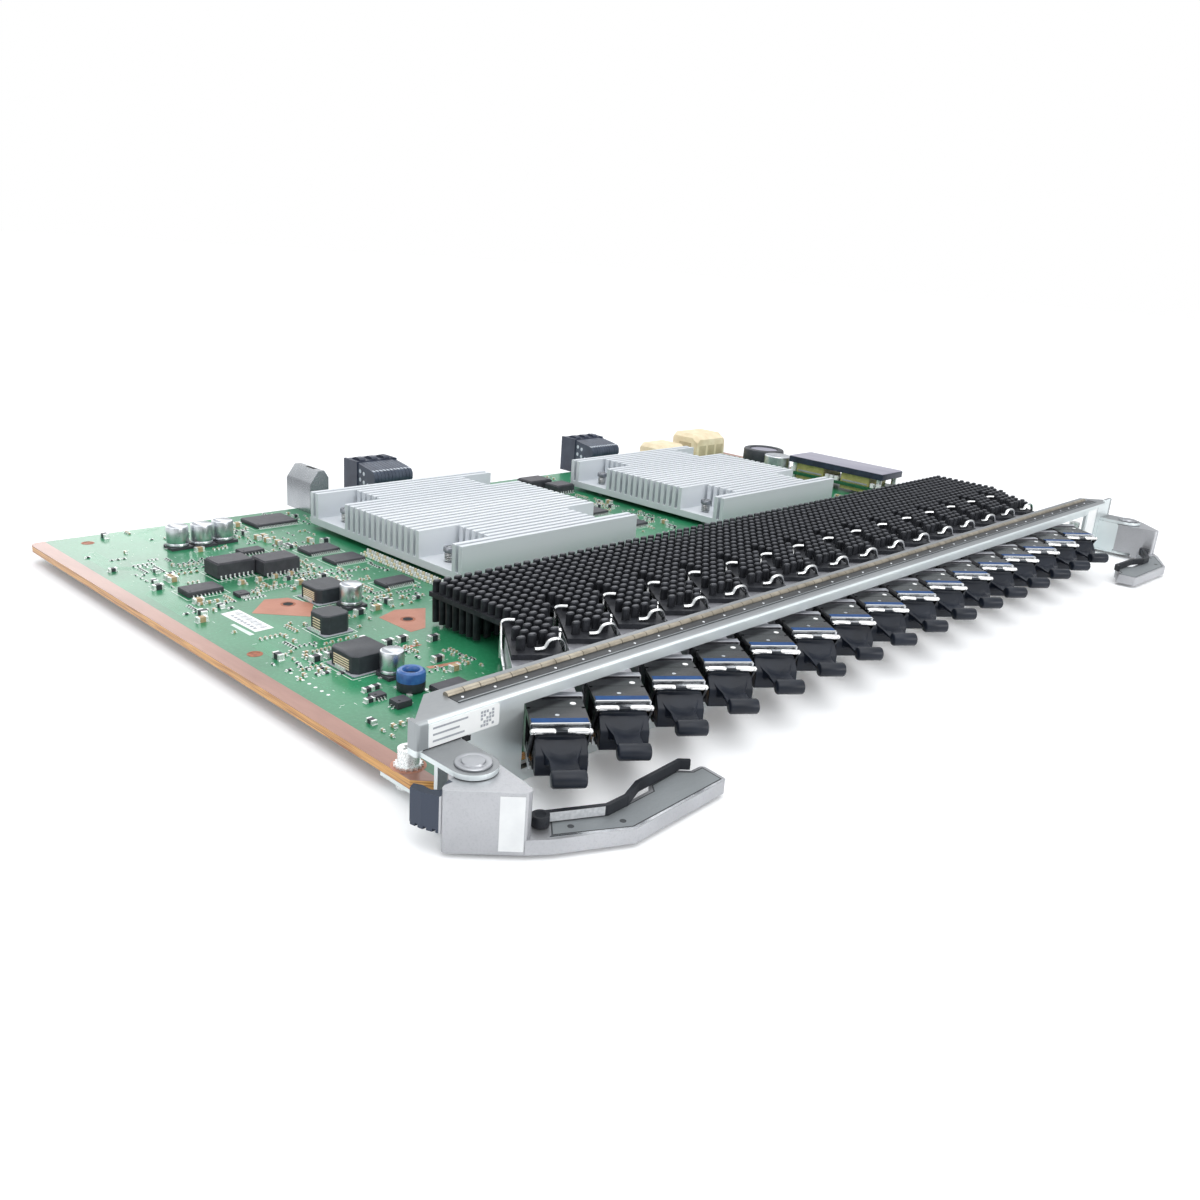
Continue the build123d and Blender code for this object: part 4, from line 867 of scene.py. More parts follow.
def backplane_piece():
    """Right angle connectors: a tall mating wall with hooks, and sloping wafers with contact windows."""
    part = Piece()
    back, top = CONNECTOR_BACK, 24.2
    wall, slope, front, nose = back - 9, back - 10.3, back - 23, top - 3.6
    for left, right in CONNECTOR_SPANS:
        part.boxes(1, (left + 0.06, right - 0.06, wall + 0.05, back - 0.05, BOARD_TOP + 0.02, top - 0.25),
                   (left, left + 1.2, wall - 1.2, back, BOARD_TOP, top),
                   (right - 1.2, right, wall - 1.2, back, BOARD_TOP, top))
        count = round((right - left) / 1.85)
        pitch = (right - left - 0.8) / count
        for index in range(count):
            x = left + 0.4 + index * pitch
            wafer = [(wall, BOARD_TOP), (wall, top - 0.7), (slope, top - 0.7), (front + 4, nose + 1.6),
                     (front + 1, nose + 0.8), (front, nose - 0.8), (front, nose - 3), (front + 0.8, nose - 4.4),
                     (front + 0.8, BOARD_TOP)]
            part.side_prism(wafer, x + 0.07, x + pitch - 0.07, 0)
            part.box(x + 0.45, x + pitch - 0.45, front + 1.4, front + 3.4, nose + 1, nose + 1.35, 2)
            part.box(x + 0.45, x + pitch - 0.45, front + 0.75, front + 0.85, 8, nose - 5.2, 2)
            part.box(x + 0.45, x + pitch - 0.45, back - 0.06, back - 0.02, BOARD_TOP + 2, top - 2.4, 3)
        for index in range(3):
            x = left + 1 + (index + 0.5) * (right - left - 2) / 3
            hook = [(back - 8.4, top - 0.3), (back - 8.4, top + 0.2), (back - 7.6, top + 0.9),
                    (back - 4.4, top + 0.9), (back - 2.4, top + 0.1), (back - 2.4, top - 0.3)]
            part.side_prism(hook, x - 1.5, x + 1.5, 1)
        for x in (left + 0.38, right - 0.45):
            for y, z in ((wall - 3, 20.4), (wall - 5.8, 19.6), (wall - 3, 16.6), (wall - 5.8, 15.8),
                         (wall - 8.6, 15), (wall - 3, 12.6), (wall - 5.8, 11.8), (wall - 8.6, 11.2)):
                hexagon = [(y + 0.85 * cos(radians(a)), z + 1 * sin(radians(a)))
                           for a in range(30, 390, 60)]
                part.side_prism(hexagon, x, x + 0.07, 2)
    part.build("backplane_wafer_connectors", [SLATE, SLATE_DARK, WINDOW, SHADOW_SLOT], "card",
               ["backplane_connectors"], 0.12, 1)
    beside = Piece()
    beside.turned([(0.01, 6.5), (1.7, 6.5), (1.7, 9.6), (1.45, 10.8), (0.8, 11.5), (0.01, 11.7)], 0, 20,
                  spot(295.2, 225.5))
    beside.box(296.9, 299.4, 222.6, 224.4, 6.5, 8.6, 1)
    beside.build("board_lamp", [LABEL, TRACK], "card", bevel=0.1)


def power_connector_piece():
    """Ivory power connectors with hipped roofs."""
    part = Piece()
    back = BOARD_BACK + 8
    front = back - 19
    for left, right, top in IVORY_SPANS:
        rings = []
        for x, drop, lean in ((left, 1.9, 0.5), (left + 0.5, 1.5, 0.1), (left + 1.9, 0, 0), (right - 1.9, 0, 0),
                              (right - 0.5, 1.5, 0.1), (right, 1.9, 0.5)):
            high = top - drop
            rings.append([(x, back, 7.5), (x, back, high - 1), (x, back - 1, high), (x, front + 4 + lean, high),
                          (x, front + lean, high - 2.6), (x, front, 6.5), (x, 229.8, 6.5), (x, 229.8, 7.5)])
        part.loft(rings, 0)
        count = int((right - left - 2) / 6.3)
        pitch = (right - left - 2) / count
        for index in range(count):
            x = left + 1 + index * pitch
            part.box(x + pitch / 2 - 1.1, x + pitch / 2 + 1.1, back - 0.02, back, 10.5, top - 3, 1)
            part.box(x + 0.9, x + pitch - 0.9, front - 0.04, front + 0.01, 8, top - 6.2, 2)
        part.box(left - 0.03, left + 0.02, back - 14, back - 5, 9, top - 5, 2)
    part.build("ivory_power_connectors", [IVORY, SHADOW_SLOT, IVORY_SHADE], "card", ["power_connectors"],
               0.3, 2)


def power_brick_piece():
    brick = Piece()
    left, right, front, back, top = 369.5, 391, 101.5, 159.4, 20
    plate = top - 3.4
    brick.prism(rounded(left, right, front, back, 0.8), plate, top - 0.35, 1)
    brick.prism(rounded(left + 0.3, right - 0.3, front + 0.3, back - 0.3, 0.8), top - 0.36, top, 0)
    board_low = BOARD_TOP + 3.6
    brick.box(left + 0.4, right - 0.4, front + 0.4, back - 0.4, board_low, board_low + 1.6, 2)
    for near in (front + 8, back - 22):
        brick.box(left + 1.6, right - 2, near, near + 17, 8.1, board_low, 3)
        brick.box(left + 1.6, right - 2, near, near + 17, board_low + 1.6, plate, 3)
        brick.box(left + 1.4, left + 1.65, near + 1, near + 16, 12.2, 13.1, 6)
    for y in (front + 2.4, front + 5.8, front + 27.5, front + 30.4, front + 33.2, back - 2.6):
        brick.box(left + 0.6, left + 2.9, y - 1, y + 1, board_low + 1.6, board_low + 3.9, 4)
    for x in (left + 3, right - 3):
        for y in (front + 3, back - 3):
            brick.turned([(0.01, 6.5), (1, 6.5), (1, 10.1), (1.4, 10.1), (1.4, 16.6), (0.01, 16.6)], 5, 12,
                         spot(x, y))
    for k in range(9):
        y = front + 26.4 + k * 1
        brick.box(left + 4.5, left + 6, y, y + 0.55, board_low + 1.6, board_low + 2.4, 5)
    brick.build("power_converter_brick", [LILAC_PLATE, NAVY_EDGE, DARK_MASK_AND_SHADOW, CORE_YELLOW, LABEL, TIN, LABEL_INK],
                "card", ["power_module"], 0.15, 1)


# Parts on the board.


# A leg's shoulder, foot and shin: near and far from the body, half width, low and high over the board.
GULL_WING = ((0, 0.45, 0.16, 0.5, 0.68), (0.4, 1.1, 0.17, 0.02, 0.2), (0.32, 0.5, 0.16, 0.1, 0.68))


def chip_with_legs(part, x, y, length, depth, height, legs_along="x", pitch=1.27):
    """A moulded chip with a gull wing leg row along two sides."""
    x0, x1, y0, y1 = x - length / 2, x + length / 2, y - depth / 2, y + depth / 2
    top = BOARD_TOP + height
    part.prism(rounded(x0, x1, y0, y1, 0.25, 2), BOARD_TOP + 0.12, top - 0.35)
    part.prism(rounded(x0 + 0.02, x1 - 0.02, y0 + 0.02, y1 - 0.02, 0.25, 2), top - 0.35, top, taper=0.97)
    part.prism(arc(x0 + 1.3, y0 + 1.3, 0.4, 0, 315, 7), top - 0.01, top + 0.01, 2)
    if legs_along == "none":
        return
    swapped = legs_along == "y"
    span, edge, middle, cross = (depth, length / 2, y, x) if swapped else (length, depth / 2, x, y)
    count = int((span - 1) / pitch)
    for k in range(count):
        here = middle + (-(count - 1) * pitch / 2 + k * pitch)
        for side in (-1, 1):
            for near, far, half, low, high in GULL_WING:
                part.bar([here - half, here + half], outward(cross + side * edge, side, near, far),
                         *above(low, high), 1, swapped)


def chip_pieces():
    chips = Piece()
    for row in ((86, 215, 18, 13, 1.6, "x", 0.65),
                (80.5, 170, 13, 8.5, 1.4, "x", 0.8),
                (81.5, 155, 13, 8.5, 1.4, "x", 0.8),
                (80.5, 123, 12, 7, 1.4, "x", 0.8),
                (24.4, 149, 12, 7.5, 1.8, "x"),
                (39.2, 39.2, 10, 8, 1.6, "none"),
                (59, 181, 9, 5, 1.4, "x"),
                (33, 139, 4, 4, 1.2, "x", 0.5),
                (20.9, 47.2, 4, 3, 1.2, "x", 0.95),
                (22.8, 39.8, 4.5, 4, 1.8, "y", 1.27),
                (212, 160, 17, 11, 1.6, "x", 0.8),
                (212, 136, 17, 11, 1.6, "x", 0.8)):
        chip_with_legs(chips, *row)
    chips.build("moulded_chips", [EPOXY, TIN, SHADOW_SLOT], "card", ["board_chips"])

    cores = Piece()
    for x, y, length, depth, height in ((41.2, 162, 13.5, 9.5, 5.6), (55, 156.5, 13.5, 9.5, 5.6),
                                        (226, 210, 14, 10, 5), (231.5, 198, 11.5, 9, 4.4)):
        top = BOARD_TOP + height
        cores.box(x - length / 2, x + length / 2, y - depth / 2, y + depth / 2, BOARD_TOP + 0.35, top - 0.5)
        cores.prism(rounded(x - length / 2 + 0.2, x + length / 2 - 0.2, y - depth / 2 + 0.2, y + depth / 2 - 0.2,
                            0.5, 2),
                    top - 0.5, top, 0, taper=0.95)
        count = int(length / 1.6)
        for k in range(count):
            px = x + (k - (count - 1) / 2) * 1.6
            for side in (-1, 1):
                for far, low, high in ((1.3, 0.02, 0.3), (0.25, 0.2, 1.4)):
                    cores.box(px - 0.3, px + 0.3, *outward(y, side, depth / 2, depth / 2 + far), *above(low, high), 1)
    cores.build("pulse_transformers", [EPOXY, TIN], "card", ["line_transformers"], 0.12, 1)

    coils = Piece()
    for x, y, size, height in ((53, 122.5, 11.5, 4.6), (30, 68, 12.5, 5), (38.2, 96.2, 9, 5.6)):
        half = size / 2
        cut = 1.5
        outline = [(x - half + cut, y - half), (x + half - cut, y - half), (x + half, y - half + cut),
                   (x + half, y + half - cut), (x + half - cut, y + half), (x - half + cut, y + half),
                   (x - half, y + half - cut), (x - half, y - half + cut)]
        foot = half + 0.6
        coils.prism(rounded(x - foot, x + foot, y - foot, y + foot, 0.6, 2), *above(0.02, 0.35), 1)
        coils.prism(outline, BOARD_TOP + 0.35, BOARD_TOP + height + 0.2, 0)
        coils.prism(outline, BOARD_TOP + height + 0.2, BOARD_TOP + height + 0.5, 0, taper=0.94)
        for side in (-1, 1):
            coils.box(*outward(x, side, half + 0.02, half + 0.55), y - 2.4, y + 2.4, *above(0.1, 1.4), 2)
        for k in range(5):
            z = BOARD_TOP + 1 + k * (height - 1.6) / 5
            coils.box(x - half - 0.12, x - half + 0.1, y - half + cut + 1, y + half - cut - 1, z, z + 0.42, 3)
    coils.build("shielded_inductors", [EPOXY_SIDE, LABEL_INK, TIN, IVORY], "card", ["power_inductors"],
                0.12, 1)


def can_pieces():
    cans = Piece()
    for x, y, size, height in ((41, 199.8, 8, 8.2), (49.6, 198.6, 8, 8.2), (58.2, 199.6, 8, 8.2),
                               (55.4, 111.1, 7.4, 7.6), (32.6, 57.2, 7, 7.4), (373, 169, 15, 11.4)):
        half = size / 2
        cut = size * 0.14
        base = [(x - half, y - half), (x + half, y - half), (x + half, y + half - cut), (x + half - cut, y + half),
                (x - half + cut, y + half), (x - half, y + half - cut)]
        cans.prism(base, *above(0.05, 1), 1)
        r = half - 0.18
        low, high = BOARD_TOP + 1, BOARD_TOP + height
        cans.turned([(r * 0.93, low), (r, low + 0.25), (r, low + 0.9), (r * 0.965, low + 1.15), (r, low + 1.4),
                     (r, high - 0.45), (r * 0.97, high - 0.15), (r * 0.9, high), (0.01, high)], 0, 28, spot(x, y))
        shade = [(x + r * 0.86 * cos(radians(a)), y + r * 0.86 * sin(radians(a)))
                 for a in range(120, 241, 12)]
        cans.prism(shade, high + 0.005, high + 0.02, 2)
        for side in (-1, 1):
            cans.box(*outward(x, side, half * 0.7, half + 0.9), y - 0.45, y + 0.45, *above(0.02, 0.3), 3)
    cans.build("aluminium_cans", [CAN_TOP, EPOXY, LABEL_INK, TIN], "card", ["capacitors"])

    choke = Piece(spot(385, 187))
    choke.turned([(10.6, 6.6), (11.3, 7.2), (11.5, 8), (11.5, 16.6), (11.2, 17.35), (10.3, 17.7), (8.6, 17.7),
                  (8.1, 17.35), (8, 16.9), (0.01, 16.7)], 0, 44)
    choke.turned([(0.01, 16.72), (7.6, 16.92), (7.6, 16.97), (0.01, 16.97)], 1, 36)
    choke.box(-3.5, 3.5, -12.6, -10.6, 6.55, 6.9, 2)
    choke.box(-3.5, 3.5, 10.6, 12.6, 6.55, 6.9, 2)
    choke.build("round_power_choke", [EPOXY_SIDE, LILAC_PLATE, TIN], "card", ["round_inductor"])

    ring = Piece(spot(30.8, 46.3))
    ring.turned([(2.6, 6.6), (3.6, 6.8), (3.8, 7.4), (3.8, 10.6), (3.6, 10.9), (0.01, 10.9)], 1, 28)
    ring.turned([(3.85, 9.4), (3.9, 11.2), (3.7, 12), (3.1, 12.4), (2.4, 12.3), (1.95, 11.7), (1.9, 10.8),
                 (3.85, 9.4)], 0, 32)
    for x in (-2.6, 2.6):
        ring.box(x - 0.5, x + 0.5, -3.6, -2.2, 6.52, 6.9, 2)
        ring.box(x - 0.5, x + 0.5, 2.2, 3.6, 6.52, 6.9, 2)
    ring.build("blue_ring_choke", [BLUE_COIL, EPOXY_SIDE, TIN], "card", ["ring_choke"])


HOLES = [(17.8, 221.2), (11.4, 91.6), (40.5, 123.6), (62.7, 91)]


KEEP_OFF = [(92, 187, 102, 203.5), (237, 332, 102, 203.5), (104, 119, 214, 232),
            (133.5, 160.5, 212, 232), (268.5, 300.5, 212, 232), (332, 358.5, 216, 232),
            (361.5, 393, 216, 232), (366.5, 394, 98, 162.5), (363, 399.5, 158, 201),
            (0, 8.2, 0, 232), (395, 405, 0, 232), (0, 405, 0, 14), (0, 12, 0, 20),
            (75, 97, 205, 224), (71, 90, 148, 177), (72, 89, 117.5, 128.5),
            (16.5, 32, 142, 156), (32.8, 45.6, 33.5, 45), (52, 66, 176.5, 185.5), (30, 36, 136, 142),
            (17, 26.5, 35, 50.5), (203, 221, 129, 167), (32.5, 50, 155, 169),
            (46, 64, 149.5, 163.5), (217, 235, 203, 216.5), (223, 239, 191.5, 204),
            (46, 60, 115, 130), (22, 38, 60, 76), (32, 44.5, 90, 102.5), (35, 64, 193, 205.5),
            (50, 61, 105.5, 116.5), (27.5, 38, 52, 62.5), (25, 36.5, 41, 52), (17, 27, 104, 128.5),
            (25.5, 48.5, 108, 133), (54, 76, 80, 102), (12, 23, 216, 226), (6.5, 15.5, 87.5, 95.5),
            (90, 96, 110, 162)]


def free(x, y, half_x, half_y):
    for x0, x1, y0, y1 in KEEP_OFF:
        if x0 - half_x < x < x1 + half_x and y0 - half_y < y < y1 + half_y:
            return False
    for index in range(PORT_COUNT):
        away = Matrix.Rotation(PORT_ANGLE, 4, "Z") @ Vector((x - FIRST_PORT_X - index * PORT_PITCH, y, 0))
        if abs(away.x) < 8.6 and -2 < away.y < 54:
            return False
    if 58 < x < 380 and 40 < y < 85:
        return False
    return True


CELL, GAP = 5, 0.25


class Crowd:
    """Small parts that keep clear of each other and of the large ones."""

    def __init__(self):
        self.cells = {}

    def take(self, x, y, half_x, half_y):
        """True, and the place is taken, if nothing stands there yet."""
        if not free(x, y, half_x, half_y):
            return False
        cell = (int(x // CELL), int(y // CELL))
        for i in range(cell[0] - 1, cell[0] + 2):
            for j in range(cell[1] - 1, cell[1] + 2):
                for other_x, other_y, other_hx, other_hy in self.cells.get((i, j), ()):
                    if abs(x - other_x) < half_x + other_hx + GAP and abs(y - other_y) < half_y + other_hy + GAP:
                        return False
        self.cells.setdefault(cell, []).append((x, y, half_x, half_y))
        return True


def small_part(part, x, y, kind, swapped):
    """A chip resistor, ceramic capacitor or tantalum with its soldered ends, lying along Y where swapped."""
    length, width, height, body = kind
    half, across = length / 2, width / 2
    middle, cross = (y, x) if swapped else (x, y)
    z = BOARD_TOP + 0.02
    part.bar([middle - half, middle + half], [cross - across, cross + across], z, z + height, body, swapped)
    for side in (-1, 1):
        cap = outward(middle, side, half - length * 0.22, half + 0.03)
        part.bar(cap, [cross - across - 0.02, cross + across + 0.02], z, z + height + 0.02, 0, swapped)
        solder = outward(middle, side, half, half + 0.3)
        part.bar(solder, [cross - across - 0.05, cross + across + 0.05], BOARD_TOP, BOARD_TOP + 0.1, 0, swapped)


RESISTOR = (1.6, 0.85, 0.45, 1)
SMALL_RESISTOR = (1.1, 0.6, 0.35, 1)
CERAMIC = (1.6, 0.85, 0.8, 2)
SMALL_CERAMIC = (1.1, 0.6, 0.55, 2)
LARGE_CERAMIC = (3.2, 1.8, 1.6, 2)
TANTALUM = (3.4, 1.8, 1.7, 3)
DIODE = (2.6, 1.5, 1.1, 1)


ATTEMPTS = 1500


def scattered_parts():
    """Rows and clusters of small parts over the open board, thicker near the chips."""
    parts = Piece()
    crowd = Crowd()
    kinds = [RESISTOR, SMALL_RESISTOR, SMALL_RESISTOR, CERAMIC, SMALL_CERAMIC, SMALL_CERAMIC, SMALL_CERAMIC,
             LARGE_CERAMIC, DIODE, TANTALUM]
    busy = [(66, 112), (88, 146), (64, 150), (94, 186), (66, 168), (54, 205), (30, 174), (60, 140), (44, 104),
            (100, 210), (228, 168), (226, 140), (128, 212), (200, 212), (345, 205), (350, 130), (26, 134), (20, 80),
            (60, 60)]
    left, right, front, back = 10, 393, 16, 227
    for attempt in range(ATTEMPTS):
        x0 = rng.uniform(left, right)
        y0 = rng.uniform(front, back)
        if attempt % 2:
            near = busy[attempt // 2 % len(busy)]
            x0, y0 = rng.gauss(near[0], 9), rng.gauss(near[1], 7)
            if not (left < x0 < right and front < y0 < back):
                continue
        kind = rng.choice(kinds)
        turn = rng.random() < 0.5
        count = rng.choice((1, 2, 3, 4, 5, 6)) if kind[0] < 2 else rng.choice((1, 1, 2))
        step = (kind[1] if turn else kind[0]) + rng.choice((0.7, 1, 1.5))
        along_x = rng.random() < 0.6
        for k in range(count):
            x = x0 + (k * step if along_x else 0)
            y = y0 + (0 if along_x else k * ((kind[0] if turn else kind[1]) + 0.8))
            if y > 228 or x > 394:
                continue
            hx, hy = (kind[1] / 2, kind[0] / 2 + 0.3) if turn else (kind[0] / 2 + 0.3, kind[1] / 2)
            if crowd.take(x, y, hx, hy):
                small_part(parts, x, y, kind, turn)
    for x in (38.8, 45, 51, 56.9):
        small_part(parts, x, 149.5, (2.2, 1.4, 1.3, 2), False)
    for x, y in ((17.8, 46.2), (21.2, 52), (23.9, 52.2)):
        small_part(parts, x, y, DIODE, False)
    for x, y in ((20, 72), (22.5, 66), (19.3, 68.5)):
        small_part(parts, x, y, (2, 1.25, 0.5, 1), False)
    parts.build("small_surface_parts", [TIN, EPOXY, TAN, EPOXY_SIDE], "card")


TRACK_PITCH, TRACK_HALF_WIDTH, TRACKS_END = 0.62, 0.11, 228


def board_marks():
    """Copper areas, holes, pads, sticker, silkscreen, tracks and vias, each a hair above the board."""
    marks = Piece()
    low, high = BOARD_TOP - 0.01, BOARD_TOP + 0.03
    for outline in ([(27.2, 122.1), (36.8, 131.5), (43.6, 129), (47.1, 119.4), (39.8, 109.6)],
                    [(56.3, 97.2), (64.5, 100.4), (73.5, 96.3), (62.3, 81.6), (56.5, 81.1)],
                    [(45.9, 72.6), (52.7, 72.2), (52.7, 70.6), (45.9, 71)],
                    [(43.5, 56.6), (53.1, 54.6), (53.1, 52.8), (43.5, 54.8)]):
        marks.prism(outline[::-1], low, high, 0)
    for x, y in HOLES:
        marks.turned([(1.62, BOARD_BOTTOM), (1.62, high + 0.01), (2.2, high + 0.01), (2.2, low), (1.62, low)],
                     7, 24, spot(x, y))
    marks.prism([(19.9, 106.9), (26.1, 107), (25.6, 127.1), (19.4, 126.5)], BOARD_TOP, BOARD_TOP + 0.09, 2)
    for k in range(8):
        y = 109 + k * 1.9
        marks.box(20.9, 21.9, y, y + 1.3, *above(0.09, 0.1), 3)
    for k in range(18):
        y = 108.6 + k * 0.95
        marks.box(22.8, 24.9, y, y + 0.35 + 0.25 * (k % 3 == 0), *above(0.09, 0.1), 3)
    marks.prism([(17.3, 105.1), (18.9, 105.3), (18.5, 116.5), (17.2, 116.3)], low, high, 4)
    for k in range(7):
        marks.prism(arc(12.1, 74 - k * 3, 0.5, 0, 315, 7), low, high, 5)
    for x, y in HOLES[2:]:
        marks.turned([(0.01, high), (1.6, high), (1.6, high + 0.02), (0.01, high + 0.02)], 6, 24, spot(x, y))
        marks.turned([(1.6, high), (2.4, high), (2.4, high + 0.03), (1.6, high + 0.03), (1.6, high)],
                     7, 24, spot(x, y))
    marks.build("board_copper_and_labels", [COPPER, GOLD, LABEL, LABEL_INK, SILK, TIN, SHADOW_SLOT, HOLE], "card")

    ink = Piece()
    low, high = above(0, 0.025)
    frames = [(75.6, 96.4, 207.2, 222.8), (73, 88, 164.2, 175.8), (74, 89, 149.2, 160.8), (73.2, 87.8, 118, 128),
              (17.3, 31.5, 143.4, 154.6), (33.8, 50.2, 155.4, 168.6), (46.8, 63.2, 150, 163),
              (45.8, 60.2, 115.4, 129.6), (22.3, 37.7, 60.4, 75.6), (32.4, 44, 90.4, 102), (53, 65, 177, 185),
              (202.4, 221.6, 152.6, 167.4), (202.4, 221.6, 128.6, 143.4), (33.6, 44.8, 34.2, 44.2)]
    for x0, x1, y0, y1 in frames:
        for a in (x0, x1):
            ink.box(a - 0.15, a + 0.15, y0, y1, low, high)
        for a in (y0, y1):
            ink.box(x0, x1, a - 0.15, a + 0.15, low, high)
    for _ in range(ATTEMPTS):
        x = rng.uniform(9, 390)
        y = rng.uniform(15, 228)
        if not free(x, y, 1.4, 0.8):
            continue
        wide = rng.choice((0.5, 0.5, 0.9, 1.3))
        if rng.random() < 0.5:
            ink.box(x - wide / 2, x + wide / 2, y - 0.08, y + 0.08, low, high)
        else:
            ink.box(x - 0.08, x + 0.08, y - wide / 2, y + wide / 2, low, high)
    ink.build("board_ink", [SILK], "card")

    vias = Piece()
    for _ in range(ATTEMPTS):
        x = rng.uniform(9, 390)
        y = rng.uniform(15, 228)
        rows = rng.choice((1, 1, 2, 4, 7))
        for k in range(rows):
            px = x + k * 1
            if px < 390 and free(px, y, 0.3, 0.3):
                vias.prism(arc(px, y, 0.22, 0, 300, 5), low - 0.01, BOARD_TOP + 0.015, 0)
    for k in range(15):
        vias.prism(arc(40.5 + k * 1.04, 138.6 + k * 0.09, 0.34, 0, 315, 7), low - 0.01, BOARD_TOP + 0.04, 1)
    vias.build("board_vias", [TRACK, TIN], "card")

    tracks = Piece()
    for x, y, count, run, drop in ((9.6, 128, 12, 62, 10), (10.5, 158, 9, 55, -8), (64, 184, 14, 24, 9),
                                   (36, 210, 10, 30, 6), (49, 132, 10, 30, 8), (14, 56, 8, 44, -10),
                                   (62, 132, 12, 22, 12), (188, 190, 12, 20, 10),
                                   (190, 116, 12, 22, 10), (334, 120, 12, 26, 16),
                                   (334, 190, 10, 22, 12), (98, 92, 14, 60, 8), (240, 92, 14, 60, 8)):
        w, step = TRACK_HALF_WIDTH, abs(drop)
        for k in range(count):
            a = x + k * TRACK_PITCH
            line = [(a, y), (a, y + run * 0.45), (a + step, y + run * 0.45 + step),
                    (a + step, y + run * 0.45 + step + run * 0.4)]
            if drop < 0:
                line = [(a + step, y), (a + step, y + run * 0.4), (a, y + run * 0.4 + step),
                        (a, y + run * 0.85 + step * 0.5)]
            for (x0, y0), (x1, y1) in zip(line, line[1:]):
                y1 = min(y1, TRACKS_END)
                if y1 > y0:
                    outline = [(x0 - w, y0), (x0 + w, y0), (x1 + w, y1), (x1 - w, y1)]
                    tracks.prism(outline, *above(-0.01, 0.012))
    tracks.build("board_tracks", [TRACK], "card")


def post_row():
    """The row of small gold and white posts along the left sink's left side, with a painted shadow strip behind each
    row.
    """
    posts = Piece()
    count = 30
    for k in range(count):
        y = 112.8 + k * 1.55
        x = 92.3 + 0.4 * k / count
        # Painted shadow: a dark strip behind the posts.
        posts.box(x - 2.5, x + 1.5, y + 0.52, y + 0.8, BOARD_TOP, BOARD_TOP + 0.08, 2)
        for row, (shift, height) in enumerate(((-1.9, 0.7), (-0.4, 1.1), (1, 1.8))):
            slot = 0 if (k + row) % 3 == 0 else 1
            posts.box(x + shift - 0.34, x + shift + 0.34, y - 0.3, y + 0.3, BOARD_TOP, BOARD_TOP + height, slot)
    posts.build("decoupling_row", [IVORY, LABEL, DARK_MASK_AND_SHADOW], "card")


def underside():
    """Solder joints under the pins of the through-hole parts."""
    joints = Piece()
    low = BOARD_BOTTOM - 0.7

    def joint(x, y, radius=0.55):
        joints.turned([(0.2, low), (radius * 0.5, low + 0.15), (radius, BOARD_BOTTOM + 0.01),
                       (0.01, BOARD_BOTTOM + 0.02)], 0, 8, spot(x, y))

    for left, right in CONNECTOR_SPANS:
        count = int((right - left) / 1.9)
        for row in range(6):
            for k in range(count):
                joint(left + 1.4 + k * 1.9, 217 + row * 2.1, 0.45)
    for left, right, _ in IVORY_SPANS:
        for row in range(4):
            for k in range(int((right - left) / 3.1)):
                joint(left + 2 + k * 3.1, 221.2 + row * 2.5, 0.8)
    for x in (108.8, 114):
        for y in (221.5, 227):
            joint(x, y, 1.1)
    for x in (372.5, 388):
        for y in (104.5, 156.4):
            joint(x, y, 1.4)
    joints.build("solder_joints_below", [TIN], "card")


# Light and view.


def area_light(name, place, aim, size, power):
    lamp = bpy.data.lights.new(name, "AREA")
    lamp.shape = "RECTANGLE"
    lamp.size, lamp.size_y = size
    lamp.energy = power
    thing = bpy.data.objects.new(name, lamp)
    bpy.context.scene.collection.objects.link(thing)
    thing.location = place
    thing.rotation_euler = (Vector(aim) - Vector(place)).to_track_quat("-Z", "Y").to_euler()


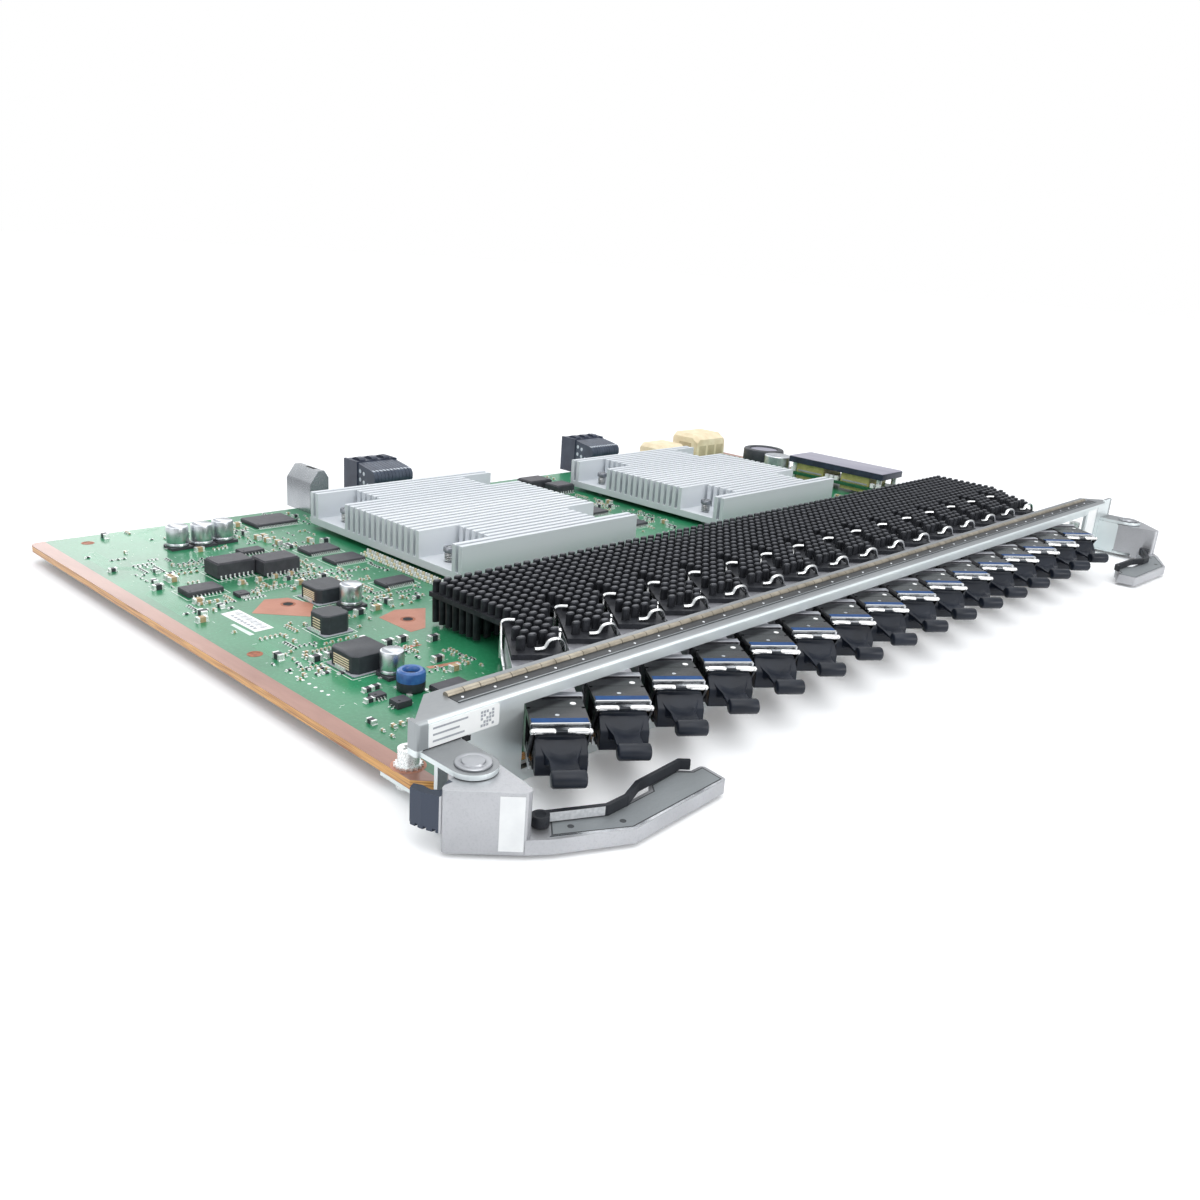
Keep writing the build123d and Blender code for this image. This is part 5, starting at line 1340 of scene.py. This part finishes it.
def studio():
    for row in (("key", (-0.35, -0.55, 0.95), (0, 0, 0), (0.9, 0.9), 4.6),
                ("top", (0.1, 0.15, 1.1), (0, 0, 0), (1.2, 1.2), 4.2),
                ("back", (0.25, 1, 0.55), (0, 0.05, 0), (1.6, 0.5), 2.4),
                ("left", (-1, 0, 0.35), (0, 0, 0), (0.7, 0.5), 1.2),
                ("far_glare", (0.05, 0.91, 0.24), (-0.2, 0.12, 0), (0.34, 0.12), 0.42),
                ("right_front", (0.1, -0.9, 0.3), (0.2, -0.1, 0.01), (0.5, 0.3), 2.4)):
        area_light(*row)

    world = bpy.data.worlds.new("studio")
    bpy.context.scene.world = world
    world.use_nodes = True
    sky = Nodes(world.node_tree)
    sky.tree.nodes.clear()
    rays = sky.node("ShaderNodeLightPath").outputs
    seen = sky.maths("ADD", rays["Is Camera Ray"], rays["Is Transmission Ray"], use_clamp=True)
    height = sky.split(sky.node("ShaderNodeTexCoord").outputs["Generated"], "Z")
    level = sky.node("ShaderNodeMapRange", {"Value": height, "From Min": -0.1, "From Max": 0.9, "To Min": 0.34,
                                            "To Max": 0.78}).outputs["Result"]
    gloss = sky.maths("MULTIPLY_ADD", rays["Is Glossy Ray"], 0.42, 1)
    strength = sky.maths("MULTIPLY", level, gloss)
    soft = sky.node("ShaderNodeBackground", {"Color": (0.95, 0.97, 1, 1), "Strength": strength})
    white = sky.node("ShaderNodeBackground", {"Color": (1, 1, 1, 1), "Strength": 1})
    mix = sky.node("ShaderNodeMixShader", {0: seen, 1: soft.outputs[0], 2: white.outputs[0]})
    sky.node("ShaderNodeOutputWorld", {0: mix.outputs[0]})

    mesh = bpy.data.meshes.new("floor")
    reach, below = 6, -0.0002
    mesh.from_pydata([(-reach, -reach, below), (reach, -reach, below), (reach, reach, below), (-reach, reach, below)],
                     [], [[0, 1, 2, 3]])
    floor = bpy.data.objects.new("floor", mesh)
    bpy.context.scene.collection.objects.link(floor)
    look = Look("pale_floor", rough=0.9, specular=0.1)
    look.colour(look.ramp(look.noise(400, 2), (0.3, (246, 247, 248)), (0.7, (250, 251, 252))))
    away = look.node("ShaderNodeVectorMath", {0: look.place}, operation="LENGTH").outputs["Value"]
    far = look.node("ShaderNodeMapRange", {"Value": away, "From Min": 0.26, "From Max": 0.75, "To Min": 0.1},
                    interpolation_type="SMOOTHSTEP").outputs["Result"]
    lift = look.node("ShaderNodeEmission", {"Strength": far}).outputs[0]
    plain = look.shader.outputs[0]
    lifted = look.node("ShaderNodeAddShader", {0: plain, 1: lift}).outputs[0]
    camera_ray = look.node("ShaderNodeLightPath").outputs["Is Camera Ray"]
    pick = look.node("ShaderNodeMixShader", {0: camera_ray, 1: plain, 2: lifted})
    look.feed(pick.outputs[0], look.tree.nodes["Material Output"].inputs["Surface"])
    mesh.materials.append(look.material)


def photo_camera():
    """The photograph's own viewpoint, fitted to the card's corners."""
    place = card((-124.70, -161.25, 118.71))
    turn, rise, roll = radians(47.44), radians(-18.18), radians(4.23)
    ahead = Vector((cos(rise) * sin(turn), cos(rise) * cos(turn), sin(rise)))
    right = ahead.cross(Vector((0, 0, 1))).normalized()
    up = right.cross(ahead)
    rolled_right = right * cos(roll) + up * sin(roll)
    rolled_up = up * cos(roll) - right * sin(roll)
    lens = bpy.data.cameras.new("photo")
    lens.lens = 31.717
    lens.sensor_width = 36
    lens.clip_start = 0.01
    lens.clip_end = 50
    camera = bpy.data.objects.new("photo", lens)
    bpy.context.scene.collection.objects.link(camera)
    camera.matrix_world = Matrix(((rolled_right.x, rolled_up.x, -ahead.x, place.x),
                                  (rolled_right.y, rolled_up.y, -ahead.y, place.y),
                                  (rolled_right.z, rolled_up.z, -ahead.z, place.z), (0, 0, 0, 1)))
    bpy.context.scene.camera = camera
    bpy.context.scene.view_settings.view_transform = "Standard"


def make_card():
    repaint("circuit_board", MASK)
    panel_pieces()
    lug_webs()
    rivet_piece()
    lever_pieces()
    housing_piece()
    for index in range(PORT_COUNT):
        bail_piece(index)
        plug_piece(index)
    repaint("transceiver_cages", CAGE, 0.12, 1)
    pin_piece("pin_heat_sinks_left", range(0, 8), [])
    pin_piece("pin_heat_sinks_right", range(8, 16), ["port_heat_sinks"])
    clip_piece()
    large_sinks()
    guide_piece()
    backplane_piece()
    power_connector_piece()
    power_brick_piece()
    chip_pieces()
    can_pieces()
    scattered_parts()
    board_marks()
    post_row()
    underside()


make_card()
studio()
photo_camera()
